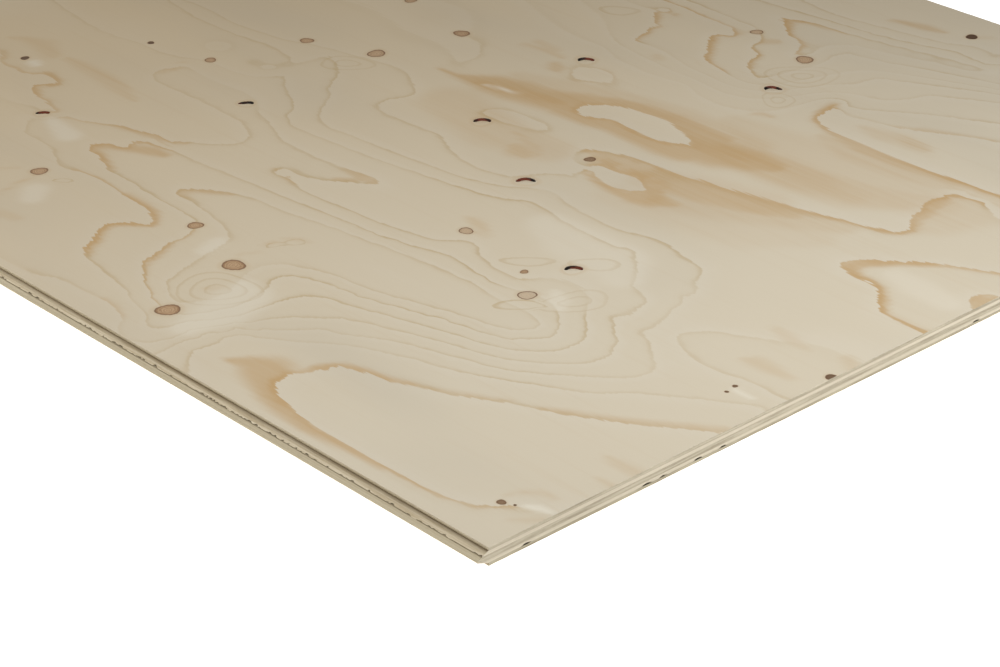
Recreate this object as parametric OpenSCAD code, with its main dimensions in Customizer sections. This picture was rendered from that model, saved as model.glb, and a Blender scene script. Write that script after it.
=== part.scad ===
// Tongue and groove plywood sheet: five glued softwood veneers, lying face up.
// X runs along the face grain, Y across the sheet from the tongue (-Y) to the groove (+Y), Z up.
// The origin is under the middle of the overall outline, on the surface the sheet lies on.

/* [Sheet] */
// Length along the face grain
sheet_l = 2440; // [600:10:3050]
// Overall width, from the tip of the tongue to the grooved edge
sheet_w = 1220; // [300:10:1525]

/* [Veneers] */
// Thickness of the face veneer and of the back veneer, as sanded
outer_t = 3.1; // [2:0.1:4.5]
// Thickness of the two crossbands, whose grain runs across the sheet
cross_t = 3.7; // [2.5:0.1:5]
// Thickness of the core veneer
core_t = 4.4; // [3:0.1:6]

/* [Tongue] */
// Reach of the tongue past the face edge
tongue_reach = 12; // [8:0.5:15]
// Radius of the rounded nose of the tongue
nose_r = 1; // [0.5:0.1:1.4]
// How far the nose lies below the middle of the sheet
nose_drop = 0.6; // [0:0.1:1]
// Set-back of the back veneer under the tongue, so that the face joint closes first
back_relief = 0.6; // [0:0.1:2]

/* [Groove] */
// Room left between the floor of the groove and a seated tongue
groove_end_gap = 0.6; // [0.2:0.1:2]

/* [Hidden] */

// Colours of wood cut along the grain, and of the paler crossbands
long_grain_colour = [0.80, 0.71, 0.56];
cross_grain_colour = [0.84, 0.77, 0.64];

// Heights of the veneers' lower faces, from the back of the sheet up
back_z = 0;
lower_cross_z = back_z + outer_t;
core_z = lower_cross_z + cross_t;
upper_cross_z = core_z + core_t;
face_z = upper_cross_z + cross_t;
sheet_t = face_z + outer_t;

// Lines across the sheet: tip of the tongue, face edge over the tongue, grooved edge
tip_y = -sheet_w / 2;
shoulder_y = tip_y + tongue_reach;
groove_y = sheet_w / 2;
back_shoulder_y = shoulder_y + back_relief;

// Tongue: its two flanks start where the outer veneers end and touch the round nose
nose_centre = [tip_y + nose_r, sheet_t / 2 - nose_drop];
upper_root = [shoulder_y, face_z];
lower_root = [back_shoulder_y, lower_cross_z];

// Groove: it narrows from the inner faces of the outer veneers to the thickness of the core
groove_depth = tongue_reach + groove_end_gap;
groove_floor_y = groove_y - groove_depth;

// Number of sides that a full circle is drawn with
round_sides = 64;

// Point where a straight line from p touches the circle of radius r round c; side is +1 or -1
function tangent_point(p, c, r, side) =
    let (
        to_p = p - c,
        touch = atan2(to_p.y, to_p.x) + side * acos(r / norm(to_p))
    )
    c + r * [cos(touch), sin(touch)];

// Section of the sheet, drawn with Y to the right and Z up
module panel_section() {
    // Outer veneers, cut square at both long edges
    translate([shoulder_y, face_z]) square([groove_y - shoulder_y, outer_t]);
    translate([back_shoulder_y, back_z]) square([groove_y - back_shoulder_y, outer_t]);
    // Crossbands and core between them, with the flanks of the tongue and of the groove
    polygon([
        upper_root,
        tangent_point(upper_root, nose_centre, nose_r, 1),
        tangent_point(lower_root, nose_centre, nose_r, -1),
        lower_root,
        [groove_y, lower_cross_z],
        [groove_floor_y, core_z],
        [groove_floor_y, upper_cross_z],
        [groove_y, face_z]
    ]);
    // Round nose of the tongue
    translate(nose_centre) circle(r = nose_r, $fn = round_sides);
}

// One veneer: the slice of the section from height z up, run the length of the sheet
module veneer(z, thickness) {
    rotate([90, 0, 90])
        linear_extrude(height = sheet_l, center = true)
            intersection() {
                panel_section();
                translate([tip_y, z]) square([sheet_w, thickness]);
            }
}

module face_veneer() {
    color(long_grain_colour) veneer(face_z, outer_t);
}

module upper_crossband() {
    color(cross_grain_colour) veneer(upper_cross_z, cross_t);
}

module core_veneer() {
    color(long_grain_colour) veneer(core_z, core_t);
}

module lower_crossband() {
    color(cross_grain_colour) veneer(lower_cross_z, cross_t);
}

module back_veneer() {
    color(long_grain_colour) veneer(back_z, outer_t);
}

face_veneer();
upper_crossband();
core_veneer();
lower_crossband();
back_veneer();
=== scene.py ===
"""Looks of a tongue and groove plywood sheet: five softwood veneers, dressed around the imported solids.

Lengths in the classes are millimetres, in the part's own frame: X along the face grain, Y from the tongue to
the groove, Z up. They become metres when a mesh is made. Places on the face are written as (along, across):
along is measured from the near short end, and across from the tongue-side edge of the face.
"""

from __future__ import annotations

import logging
import math
from dataclasses import dataclass, field
from enum import Enum
from typing import Any, Callable, Sequence

import bpy
import numpy as np
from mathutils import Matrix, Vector

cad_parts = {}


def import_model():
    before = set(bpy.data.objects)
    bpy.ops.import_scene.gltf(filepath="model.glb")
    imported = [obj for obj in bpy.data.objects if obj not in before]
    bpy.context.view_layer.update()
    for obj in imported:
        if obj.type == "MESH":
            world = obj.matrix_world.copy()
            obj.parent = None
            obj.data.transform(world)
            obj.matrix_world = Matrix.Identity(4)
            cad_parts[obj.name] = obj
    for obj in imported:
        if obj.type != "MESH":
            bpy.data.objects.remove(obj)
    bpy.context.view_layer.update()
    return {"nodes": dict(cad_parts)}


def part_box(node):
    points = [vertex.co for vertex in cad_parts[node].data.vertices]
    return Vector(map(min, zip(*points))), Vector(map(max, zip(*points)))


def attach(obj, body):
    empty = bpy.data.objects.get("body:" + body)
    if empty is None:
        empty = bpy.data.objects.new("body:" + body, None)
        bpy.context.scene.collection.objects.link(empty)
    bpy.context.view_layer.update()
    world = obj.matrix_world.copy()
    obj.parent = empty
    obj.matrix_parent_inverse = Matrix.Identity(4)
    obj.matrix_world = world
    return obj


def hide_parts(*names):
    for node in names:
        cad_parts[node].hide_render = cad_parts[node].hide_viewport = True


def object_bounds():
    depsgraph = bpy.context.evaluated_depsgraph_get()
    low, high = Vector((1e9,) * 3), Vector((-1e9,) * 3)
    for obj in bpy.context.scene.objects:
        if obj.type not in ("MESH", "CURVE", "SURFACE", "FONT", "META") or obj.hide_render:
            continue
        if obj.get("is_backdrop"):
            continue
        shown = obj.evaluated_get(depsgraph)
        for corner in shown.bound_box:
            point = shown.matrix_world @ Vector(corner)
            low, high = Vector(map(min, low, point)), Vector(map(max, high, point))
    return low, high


log = logging.getLogger("plywood_sheet")

MM = 0.001
# Points nearer to a side than this, in millimetres, lie on it
TOUCH = 0.01
# Points are told apart in steps of a micrometre
STEPS_PER_MM = 1000.0

Array = np.ndarray
Colour = tuple[float, float, float]
Place = tuple[float, float]
Scale = tuple[float, float, float]


class Run(Enum):
    """Which way an edge runs on the sheet."""

    ALONG = "along"
    ACROSS = "across"


class KnotKind(Enum):
    """What is left of a branch where it meets the surface of a veneer; the value is its mark in the mesh."""

    SOUND = 1.0
    HOLE = 3.0


class Side(Enum):
    """Material index of each side of a veneer."""

    FLAT = 0
    LONG_EDGE = 1
    SHORT_END = 2


def srgb(red: float, green: float, blue: float) -> Colour:
    """Turns a screen colour into a scene-linear one.

    Args:
        red: Red, from 0 to 255.
        green: Green, likewise.
        blue: Blue, likewise.

    Returns:
        The linear colour, with parts from 0 to 1.
    """
    share = np.array([red, green, blue]) / 255.0
    linear = np.where(share <= 0.04045, share / 12.92, ((share + 0.055) / 1.055) ** 2.4)
    return tuple(float(c) for c in linear)


def smoothstep(low: float, high: float, value: Array) -> Array:
    """Cubic rise from 0 at low to 1 at high."""
    t = np.clip((value - low) / (high - low), 0.0, 1.0)
    return t * t * (3.0 - 2.0 * t)


def wander(position: Array, spacing: float, seed: int) -> Array:
    """Smooth random values from 0 to 1 along a line, by cubic blending of one random number per spacing.

    Args:
        position: Places on the line, in millimetres.
        spacing: Distance between two random numbers.
        seed: Start of the random numbers.

    Returns:
        One value for each place.
    """
    step = (position - position.min()) / spacing
    cell = np.floor(step).astype(int)
    knots = np.random.default_rng(seed).random(cell.max() + 2)
    blend = smoothstep(0.0, 1.0, step - cell)
    return knots[cell] * (1.0 - blend) + knots[cell + 1] * blend


class Sock:
    """A shader socket in an expression. Arithmetic on it adds Math nodes to its material."""

    def __init__(self, shade: Shade, socket: bpy.types.NodeSocket) -> None:
        """Wraps one output socket of the given material's nodes."""
        self.shade = shade
        self.socket = socket

    def math(self, operation: str, *others: Any) -> Sock:
        """Adds one Math node with this socket first and returns its result."""
        inputs = dict(enumerate((self, *others)))
        return self.shade.node("ShaderNodeMath", {"operation": operation}, inputs, 0)

    def __add__(self, other: Any) -> Sock:
        """self + other."""
        return self.math("ADD", other)

    __radd__ = __add__

    def __mul__(self, other: Any) -> Sock:
        """self * other."""
        return self.math("MULTIPLY", other)

    __rmul__ = __mul__

    def __sub__(self, other: Any) -> Sock:
        """self - other."""
        return self.math("SUBTRACT", other)

    def __rsub__(self, other: Any) -> Sock:
        """other - self."""
        return self.shade.node("ShaderNodeMath", {"operation": "SUBTRACT"}, {0: other, 1: self}, 0)

    def __pow__(self, other: Any) -> Sock:
        """self ** other."""
        return self.math("POWER", other)

    def fract(self) -> Sock:
        """Part of the value above its whole number."""
        return self.math("FRACT")

    def rise(self, low: float, high: float) -> Sock:
        """Adds a smooth step.

        Args:
            low: Value at which it is 0.
            high: Value at which it is 1, above or below low.

        Returns:
            The step.
        """
        settings = {"interpolation_type": "SMOOTHSTEP", "clamp": True}
        ends = (low, high, 0.0, 1.0) if low < high else (high, low, 1.0, 0.0)
        return self.shade.node("ShaderNodeMapRange", settings, dict(enumerate((self, *ends))), 0)


class Shade:
    """One procedural material and the nodes that make it."""

    def __init__(self, name: str, roughness: float, specular: float) -> None:
        """Starts a material with a Principled shader.

        Args:
            name: Name of the material.
            roughness: Roughness where nothing is linked.
            specular: Specular level, the same all over.
        """
        self.material = bpy.data.materials.new(name)
        self.material.use_nodes = True
        self.nodes = self.material.node_tree.nodes
        self.links = self.material.node_tree.links
        self.shader = self.nodes["Principled BSDF"]
        self.shader.inputs["Roughness"].default_value = roughness
        self.shader.inputs["Specular IOR Level"].default_value = specular
        self.place = self.node("ShaderNodeTexCoord", {}, {}, "Object")

    def node(self, kind: str, settings: dict[str, Any], inputs: dict[Any, Any], output: Any) -> Sock:
        """Adds a node.

        Args:
            kind: Type of the node.
            settings: Its properties, set first.
            inputs: Values or sockets, by the name or number of the input.
            output: Name or number of the output that is wanted.

        Returns:
            That output.
        """
        made = self.nodes.new(kind)
        for key, value in settings.items():
            setattr(made, key, value)
        for key, value in inputs.items():
            if isinstance(value, Sock):
                self.links.new(value.socket, made.inputs[key])
            else:
                made.inputs[key].default_value = value
        return Sock(self, made.outputs[output])

    def attribute(self, name: str, output: str = "Fac") -> Sock:
        """Value that the mesh carries under a name."""
        settings = {"attribute_type": "GEOMETRY", "attribute_name": name}
        return self.node("ShaderNodeAttribute", settings, {}, output)

    def noise(self, scale: Sequence[float], detail: float = 2.0, shift: float = 0.0) -> Sock:
        """Noise from 0 to 1, centred on 0.5, in object coordinates.

        Args:
            scale: Cycles per metre along X, Y and Z.
            detail: Octaves of finer noise.
            shift: Offset that makes one noise differ from another.

        Returns:
            The noise's value.
        """
        inputs = {"Vector": self.place, "Location": (shift, shift * 0.7, shift * 0.3), "Scale": tuple(scale)}
        mapped = self.node("ShaderNodeMapping", {}, inputs, 0)
        return self.node("ShaderNodeTexNoise", {}, {"Vector": mapped, "Scale": 1.0, "Detail": detail}, 0)

    def mix(self, first: Any, second: Any, share: Any) -> Sock:
        """Mixes two colours.

        Args:
            first: Colour or socket where share is 0.
            second: Colour or socket where share is 1.
            share: Number or socket, held between 0 and 1.

        Returns:
            The mixed colour.
        """
        pair = [(*c, 1.0) if isinstance(c, tuple) else c for c in (first, second)]
        settings = {"data_type": "RGBA", "clamp_factor": True}
        return self.node("ShaderNodeMix", settings, {0: share, 6: pair[0], 7: pair[1]}, 2)

    def finish(self, colour: Sock, roughness: Sock, height: Sock, depth: float) -> bpy.types.Material:
        """Links the surface's colour, roughness and relief.

        Args:
            colour: Base colour.
            roughness: Roughness.
            height: Height of the fine relief, from 0 to 1.
            depth: Depth of that relief in metres.

        Returns:
            The finished material.
        """
        self.links.new(colour.socket, self.shader.inputs["Base Color"])
        self.links.new(roughness.socket, self.shader.inputs["Roughness"])
        bump = self.node("ShaderNodeBump", {}, {"Strength": 1.0, "Distance": depth, "Height": height}, 0)
        self.links.new(bump.socket, self.shader.inputs["Normal"])
        return self.material


@dataclass(frozen=True)
class FaceFinish:
    """Peeled softwood seen flat: growth rings, fibres, flames and knots, read from the mesh's attributes.

    Attributes:
        name: Name of the material.
        pale: Early wood, just after a ring's edge.
        wood: Wood within a ring.
        painted_warm_shade: Painted warm shade, a darker and yellower wood colour laid towards the middle of
            the sheet for dimmer, warmer light there.
        line: Late wood of a faint ring.
        late: Late wood of a strong ring, and of the flames.
        grey: Clouded wood.
        bleached: Bleached wood.
        knot_wood: Dark rings of a live knot.
        knot_core: Its light rings.
        knot_rim: Bark round a sound knot.
        knot_dark: Wood of a dead knot.
        hole_wall_shade: Painted shade on the sunken wall of an open knot, nearly black.
        hole_bark: Bark left on that wall.
        ring_wobble: How far the rings wander, in rings.
        ring_rag: How far they fray, in rings.
        flame_rag: How much further they fray within a flame.
        painted_shade_from: Distance from the middle of the sheet, in metres, within which the painted warm
            shade lies.
        painted_shade_rise: How much stronger the painted warm shade gets with each metre.
        relief: Depth of the fibres, in metres.
        wobble_scale: Scale of the rings' wandering, in cycles per metre.
        rag_scale: Scale of their fraying.
        streak_scale: Scale of the streaks along the grain.
        cloud_scale: Scale of the clouds.
        fibre_scale: Scale of the fibres.
        faint_scale: Scale on which the rings grow fainter and stronger.
        ripple_scale: Scale of the ripples in the knots.
        bark_scale: Scale of the bark in the open knots.
    """

    name: str
    pale: Colour = srgb(209, 200, 182)
    wood: Colour = srgb(205, 194, 172)
    painted_warm_shade: Colour = srgb(196, 168, 122)
    line: Colour = srgb(179, 155, 112)
    late: Colour = srgb(186, 154, 108)
    grey: Colour = srgb(186, 177, 159)
    bleached: Colour = srgb(220, 213, 196)
    knot_wood: Colour = srgb(150, 118, 86)
    knot_core: Colour = srgb(186, 156, 122)
    knot_rim: Colour = srgb(104, 72, 48)
    knot_dark: Colour = srgb(72, 50, 36)
    hole_wall_shade: Colour = srgb(22, 15, 12)
    hole_bark: Colour = srgb(104, 48, 30)
    ring_wobble: float = 0.10
    ring_rag: float = 0.20
    flame_rag: float = 0.14
    painted_shade_from: float = 1.005
    painted_shade_rise: float = 0.55
    relief: float = 0.00012
    wobble_scale: Scale = (5.0, 22.0, 1.0)
    rag_scale: Scale = (14.0, 260.0, 1.0)
    streak_scale: Scale = (3.0, 130.0, 1.0)
    cloud_scale: Scale = (2.2, 5.0, 1.0)
    fibre_scale: Scale = (30.0, 1500.0, 1.0)
    faint_scale: Scale = (5.0, 9.0, 1.0)
    ripple_scale: Scale = (260.0, 260.0, 260.0)
    bark_scale: Scale = (70.0, 70.0, 70.0)

    def material(self) -> bpy.types.Material:
        """Builds the material.

        The ring number comes from the mesh, and noise drawn out along the grain makes its lines wander and
        fray. Within a ring the wood is palest just after the sharp edge and darkens towards the next one.

        Returns:
            The material.
        """
        shade = Shade(self.name, 0.6, 0.3)
        wobble = shade.noise(self.wobble_scale, 3.0) - 0.5
        rag = shade.noise(self.rag_scale, 4.0, 3.0) - 0.5
        drawn = shade.attribute("late_wood")
        fray = rag * (drawn * self.flame_rag + self.ring_rag)
        step = (shade.attribute("ring") + wobble * self.ring_wobble + fray).fract()
        late = (step.rise(0.80, 0.95) * 0.7 + step.rise(0.55, 1.0) * 0.3) * step.rise(1.0, 0.96)
        early = step.rise(0.35, 0.0)
        streak = shade.noise(self.streak_scale, 4.0, 5.0)
        cloud = shade.noise(self.cloud_scale, 2.0, 9.0)
        fibre = shade.noise(self.fibre_scale, 2.0, 1.0)
        # Painted warm shade: the wood is made darker and yellower towards the middle of the sheet, in clouds,
        # for the dimmer, warmer light there
        middle = shade.node("ShaderNodeSeparateXYZ", {}, {0: shade.place}, 0).math("ABSOLUTE")
        painted_shade = ((self.painted_shade_from - middle) * self.painted_shade_rise).math("MAXIMUM", 0.0)
        colour = shade.mix(self.wood, self.pale, early * 0.4)
        colour = shade.mix(colour, self.painted_warm_shade, painted_shade * (cloud * 0.8 + 0.6))
        colour = shade.mix(colour, self.grey, cloud.rise(0.45, 0.8) * 0.35)
        colour = shade.mix(colour, self.late, streak.rise(0.55, 0.85) * 0.10 + fibre.rise(0.5, 0.9) * 0.06)
        flame = (drawn + (streak - 0.5) * drawn.rise(0.0, 0.3) * 0.4) * step.rise(0.25, 0.42)
        tone = shade.attribute("tone")
        faint = shade.noise(self.faint_scale, 2.0, 13.0).rise(0.3, 0.7) * 0.75 + 0.35
        edge = shade.mix(self.line, self.late, tone.rise(0.6, 0.85))
        colour = shade.mix(colour, edge, late * tone * faint)
        oval = (shade.attribute("whorl") + wobble * 0.5 + rag * 0.2).fract()
        oval = oval.rise(0.62, 0.88) * oval.rise(1.0, 0.94) * shade.attribute("whorl_tone")
        colour = shade.mix(colour, self.line, oval * faint)
        colour = shade.mix(colour, self.late, flame * 0.85)
        colour = shade.mix(colour, self.late, shade.attribute("patch") * (streak * 0.8 + 0.6))
        colour = shade.mix(colour, self.bleached, shade.attribute("bleached"))
        colour, hollow = self.knots(shade, colour)
        roughness = 0.62 - late * 0.08 + fibre * 0.06
        height = fibre * 0.35 + streak * 0.25 + late * 0.4 - hollow * 0.6
        return shade.finish(colour, roughness, height, self.relief)

    def knots(self, shade: Shade, colour: Sock) -> tuple[Sock, Sock]:
        """Lays the knots over the wood.

        The attribute knot holds how far out a point lies, 1 at the knot's rim, the knot's kind plus its
        darkness, and how far the point is sunk into an open knot.

        Args:
            shade: The material.
            colour: Colour of the clear wood.

        Returns:
            The colour with the knots, and a mask of their sunken rims.
        """
        knot = shade.attribute("knot", "Vector")
        reach, kind, sunk = (shade.node("ShaderNodeSeparateXYZ", {}, {0: knot}, axis) for axis in range(3))
        ripple = shade.noise(self.ripple_scale, 3.0, 7.0)
        bark = shade.noise(self.bark_scale, 1.0, 8.0)
        out = reach + (ripple - 0.5) * 0.18
        solid = kind.rise(KnotKind.HOLE.value, 2.2)
        inside = out.rise(1.06, 0.94)
        rings = ((out * 4.0 + ripple * 1.2).fract() - 0.5).math("ABSOLUTE") * 2.0
        brown = rings.rise(0.2, 0.9) * 0.6 + out.rise(0.3, 0.9) * 0.4
        body = shade.mix(self.knot_core, self.knot_wood, brown)
        pale = KnotKind.SOUND.value - kind
        body = shade.mix(shade.mix(body, self.knot_dark, kind - KnotKind.SOUND.value), colour, pale)
        rim = out.rise(0.85, 0.97) * out.rise(1.10, 1.0)
        halo = out.rise(1.7, 1.1) - inside
        colour = shade.mix(colour, self.late, halo * 0.22)
        colour = shade.mix(colour, body, inside * solid)
        colour = shade.mix(colour, self.knot_rim, rim * solid * (pale.rise(0.0, 0.4) * 0.2 + 0.75))
        # Painted shade: the sunken wall of an open knot is painted nearly black, mixed with the bark's own
        # red-brown
        wall = reach.rise(0.66, 0.82) * sunk.rise(0.10, 0.35)
        wall_shade_and_bark = shade.mix(self.hole_wall_shade, self.hole_bark, bark.rise(0.42, 0.56))
        colour = shade.mix(colour, wall_shade_and_bark, wall)
        return colour, rim * solid


@dataclass(frozen=True)
class EdgeFinish:
    """A sawn or milled edge of one veneer, across or along its fibres.

    Attributes:
        name: Name of the material.
        edge: Which way the edge runs.
        end_grain: True where the fibres are cut across.
        light: Colour of the light streaks.
        dark: Colour of the dark streaks.
        glue: Colour of a glue line.
        burnt: Colour of the cutter's burn and of painted shade towards the tongue's shoulders.
        torn: Painted shade inside a tear or a void, nearly black.
        end_streak: Scale of the streaks on end grain, along and across the edge, in cycles per metre.
        side_streak: Scale of the streaks on side grain.
        pore_scale: Scale of the pores.
        patch_scale: Scale of the broad patches, along X, Y and Z.
        end_relief: Depth of the relief on end grain, in metres.
        side_relief: Depth of the relief on side grain.
    """

    name: str
    edge: Run
    end_grain: bool
    light: Colour
    dark: Colour
    glue: Colour = srgb(120, 104, 80)
    burnt: Colour = srgb(104, 84, 54)
    torn: Colour = srgb(40, 30, 20)
    end_streak: Place = (20.0, 560.0)
    side_streak: Place = (5.0, 600.0)
    pore_scale: Place = (170.0, 1500.0)
    patch_scale: Scale = (6.0, 6.0, 60.0)
    end_relief: float = 0.0003
    side_relief: float = 0.00015

    def drawn_out(self, scale: Place) -> Scale:
        """Scale along X, Y and Z of a noise whose scale along and across the edge is given."""
        along, across = scale
        return (along, across, across) if self.edge is Run.ALONG else (across, along, across)

    def material(self) -> bpy.types.Material:
        """Builds the material: streaks drawn out along the edge, with pores and lathe checks on end grain.

        Returns:
            The material.
        """
        shade = Shade(self.name, 0.75, 0.2)
        streak_scale = self.end_streak if self.end_grain else self.side_streak
        streak = shade.noise(self.drawn_out(streak_scale), 4.0, 2.0)
        speck = shade.noise(self.drawn_out(self.pore_scale), 2.0, 4.0)
        patch = shade.noise(self.patch_scale, 3.0, 6.0)
        share = streak.rise(0.35, 0.65) * (0.7 if self.end_grain else 0.45) + speck.rise(0.45, 0.75) * 0.3
        colour = shade.mix(self.light, self.dark, share + (patch - 0.5) * 0.6)
        colour = shade.mix(colour, self.glue, shade.attribute("joint") * 0.6)
        # Painted shade, partly the cutter's burn: the edge darkens towards the tongue's shoulders, where
        # shade falls
        colour = shade.mix(colour, self.burnt, shade.attribute("burn") ** 2.2 * 0.8)
        # Painted shade inside the tears and voids, which are real slits in the mesh
        colour = shade.mix(colour, self.torn, shade.attribute("torn"))
        roughness = 0.72 + speck * 0.15
        relief = self.end_relief if self.end_grain else self.side_relief
        return shade.finish(colour, roughness, streak * 0.5 + speck * 0.5, relief)


@dataclass(frozen=True)
class GrowthLine:
    """The edge of one growth ring on a veneer, with the pale wood on the left of its points.

    Attributes:
        ring: Number of the ring; a line without a fade may hold any value.
        tone: How dark the late wood is along it.
        fade: Distance over which the late wood fades on the right, or 0 for a line that only holds its value.
        points: Places (along, across) on the veneer.
    """

    ring: float
    tone: float
    fade: float
    points: tuple[Place, ...]


@dataclass(frozen=True)
class Knot:
    """A knot at a place on a veneer.

    Attributes:
        along: Place of its middle along the veneer.
        across: Place of its middle across it.
        size: Its diameter.
        kind: What is left of the branch.
        dark: From -1 for wood as pale as that round it, over 0 for a live knot, to 0.9 for a black one.
    """

    along: float
    across: float
    size: float
    kind: KnotKind = KnotKind.SOUND
    dark: float = 0.0


@dataclass(frozen=True)
class Flame:
    """A brown streak of late wood, drawn as a stroke of changing width.

    Attributes:
        tone: How dark it is.
        points: Places and half widths (along, across, half width) on the veneer.
    """

    tone: float
    points: tuple[tuple[float, float, float], ...]


@dataclass(frozen=True)
class Whorl:
    """Nested ovals of growth rings, where a branch or its tip lay close under the veneer.

    Attributes:
        along: Place of the middle along the veneer.
        across: Place of the middle across it.
        long: Half length of the outermost oval.
        wide: Half width of the outermost oval.
        lean: Turn of the long way from along to across, in degrees.
        rings: Number of ovals.
        tone: How dark they are.
    """

    along: float
    across: float
    long: float
    wide: float
    lean: float
    rings: int
    tone: float


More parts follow.
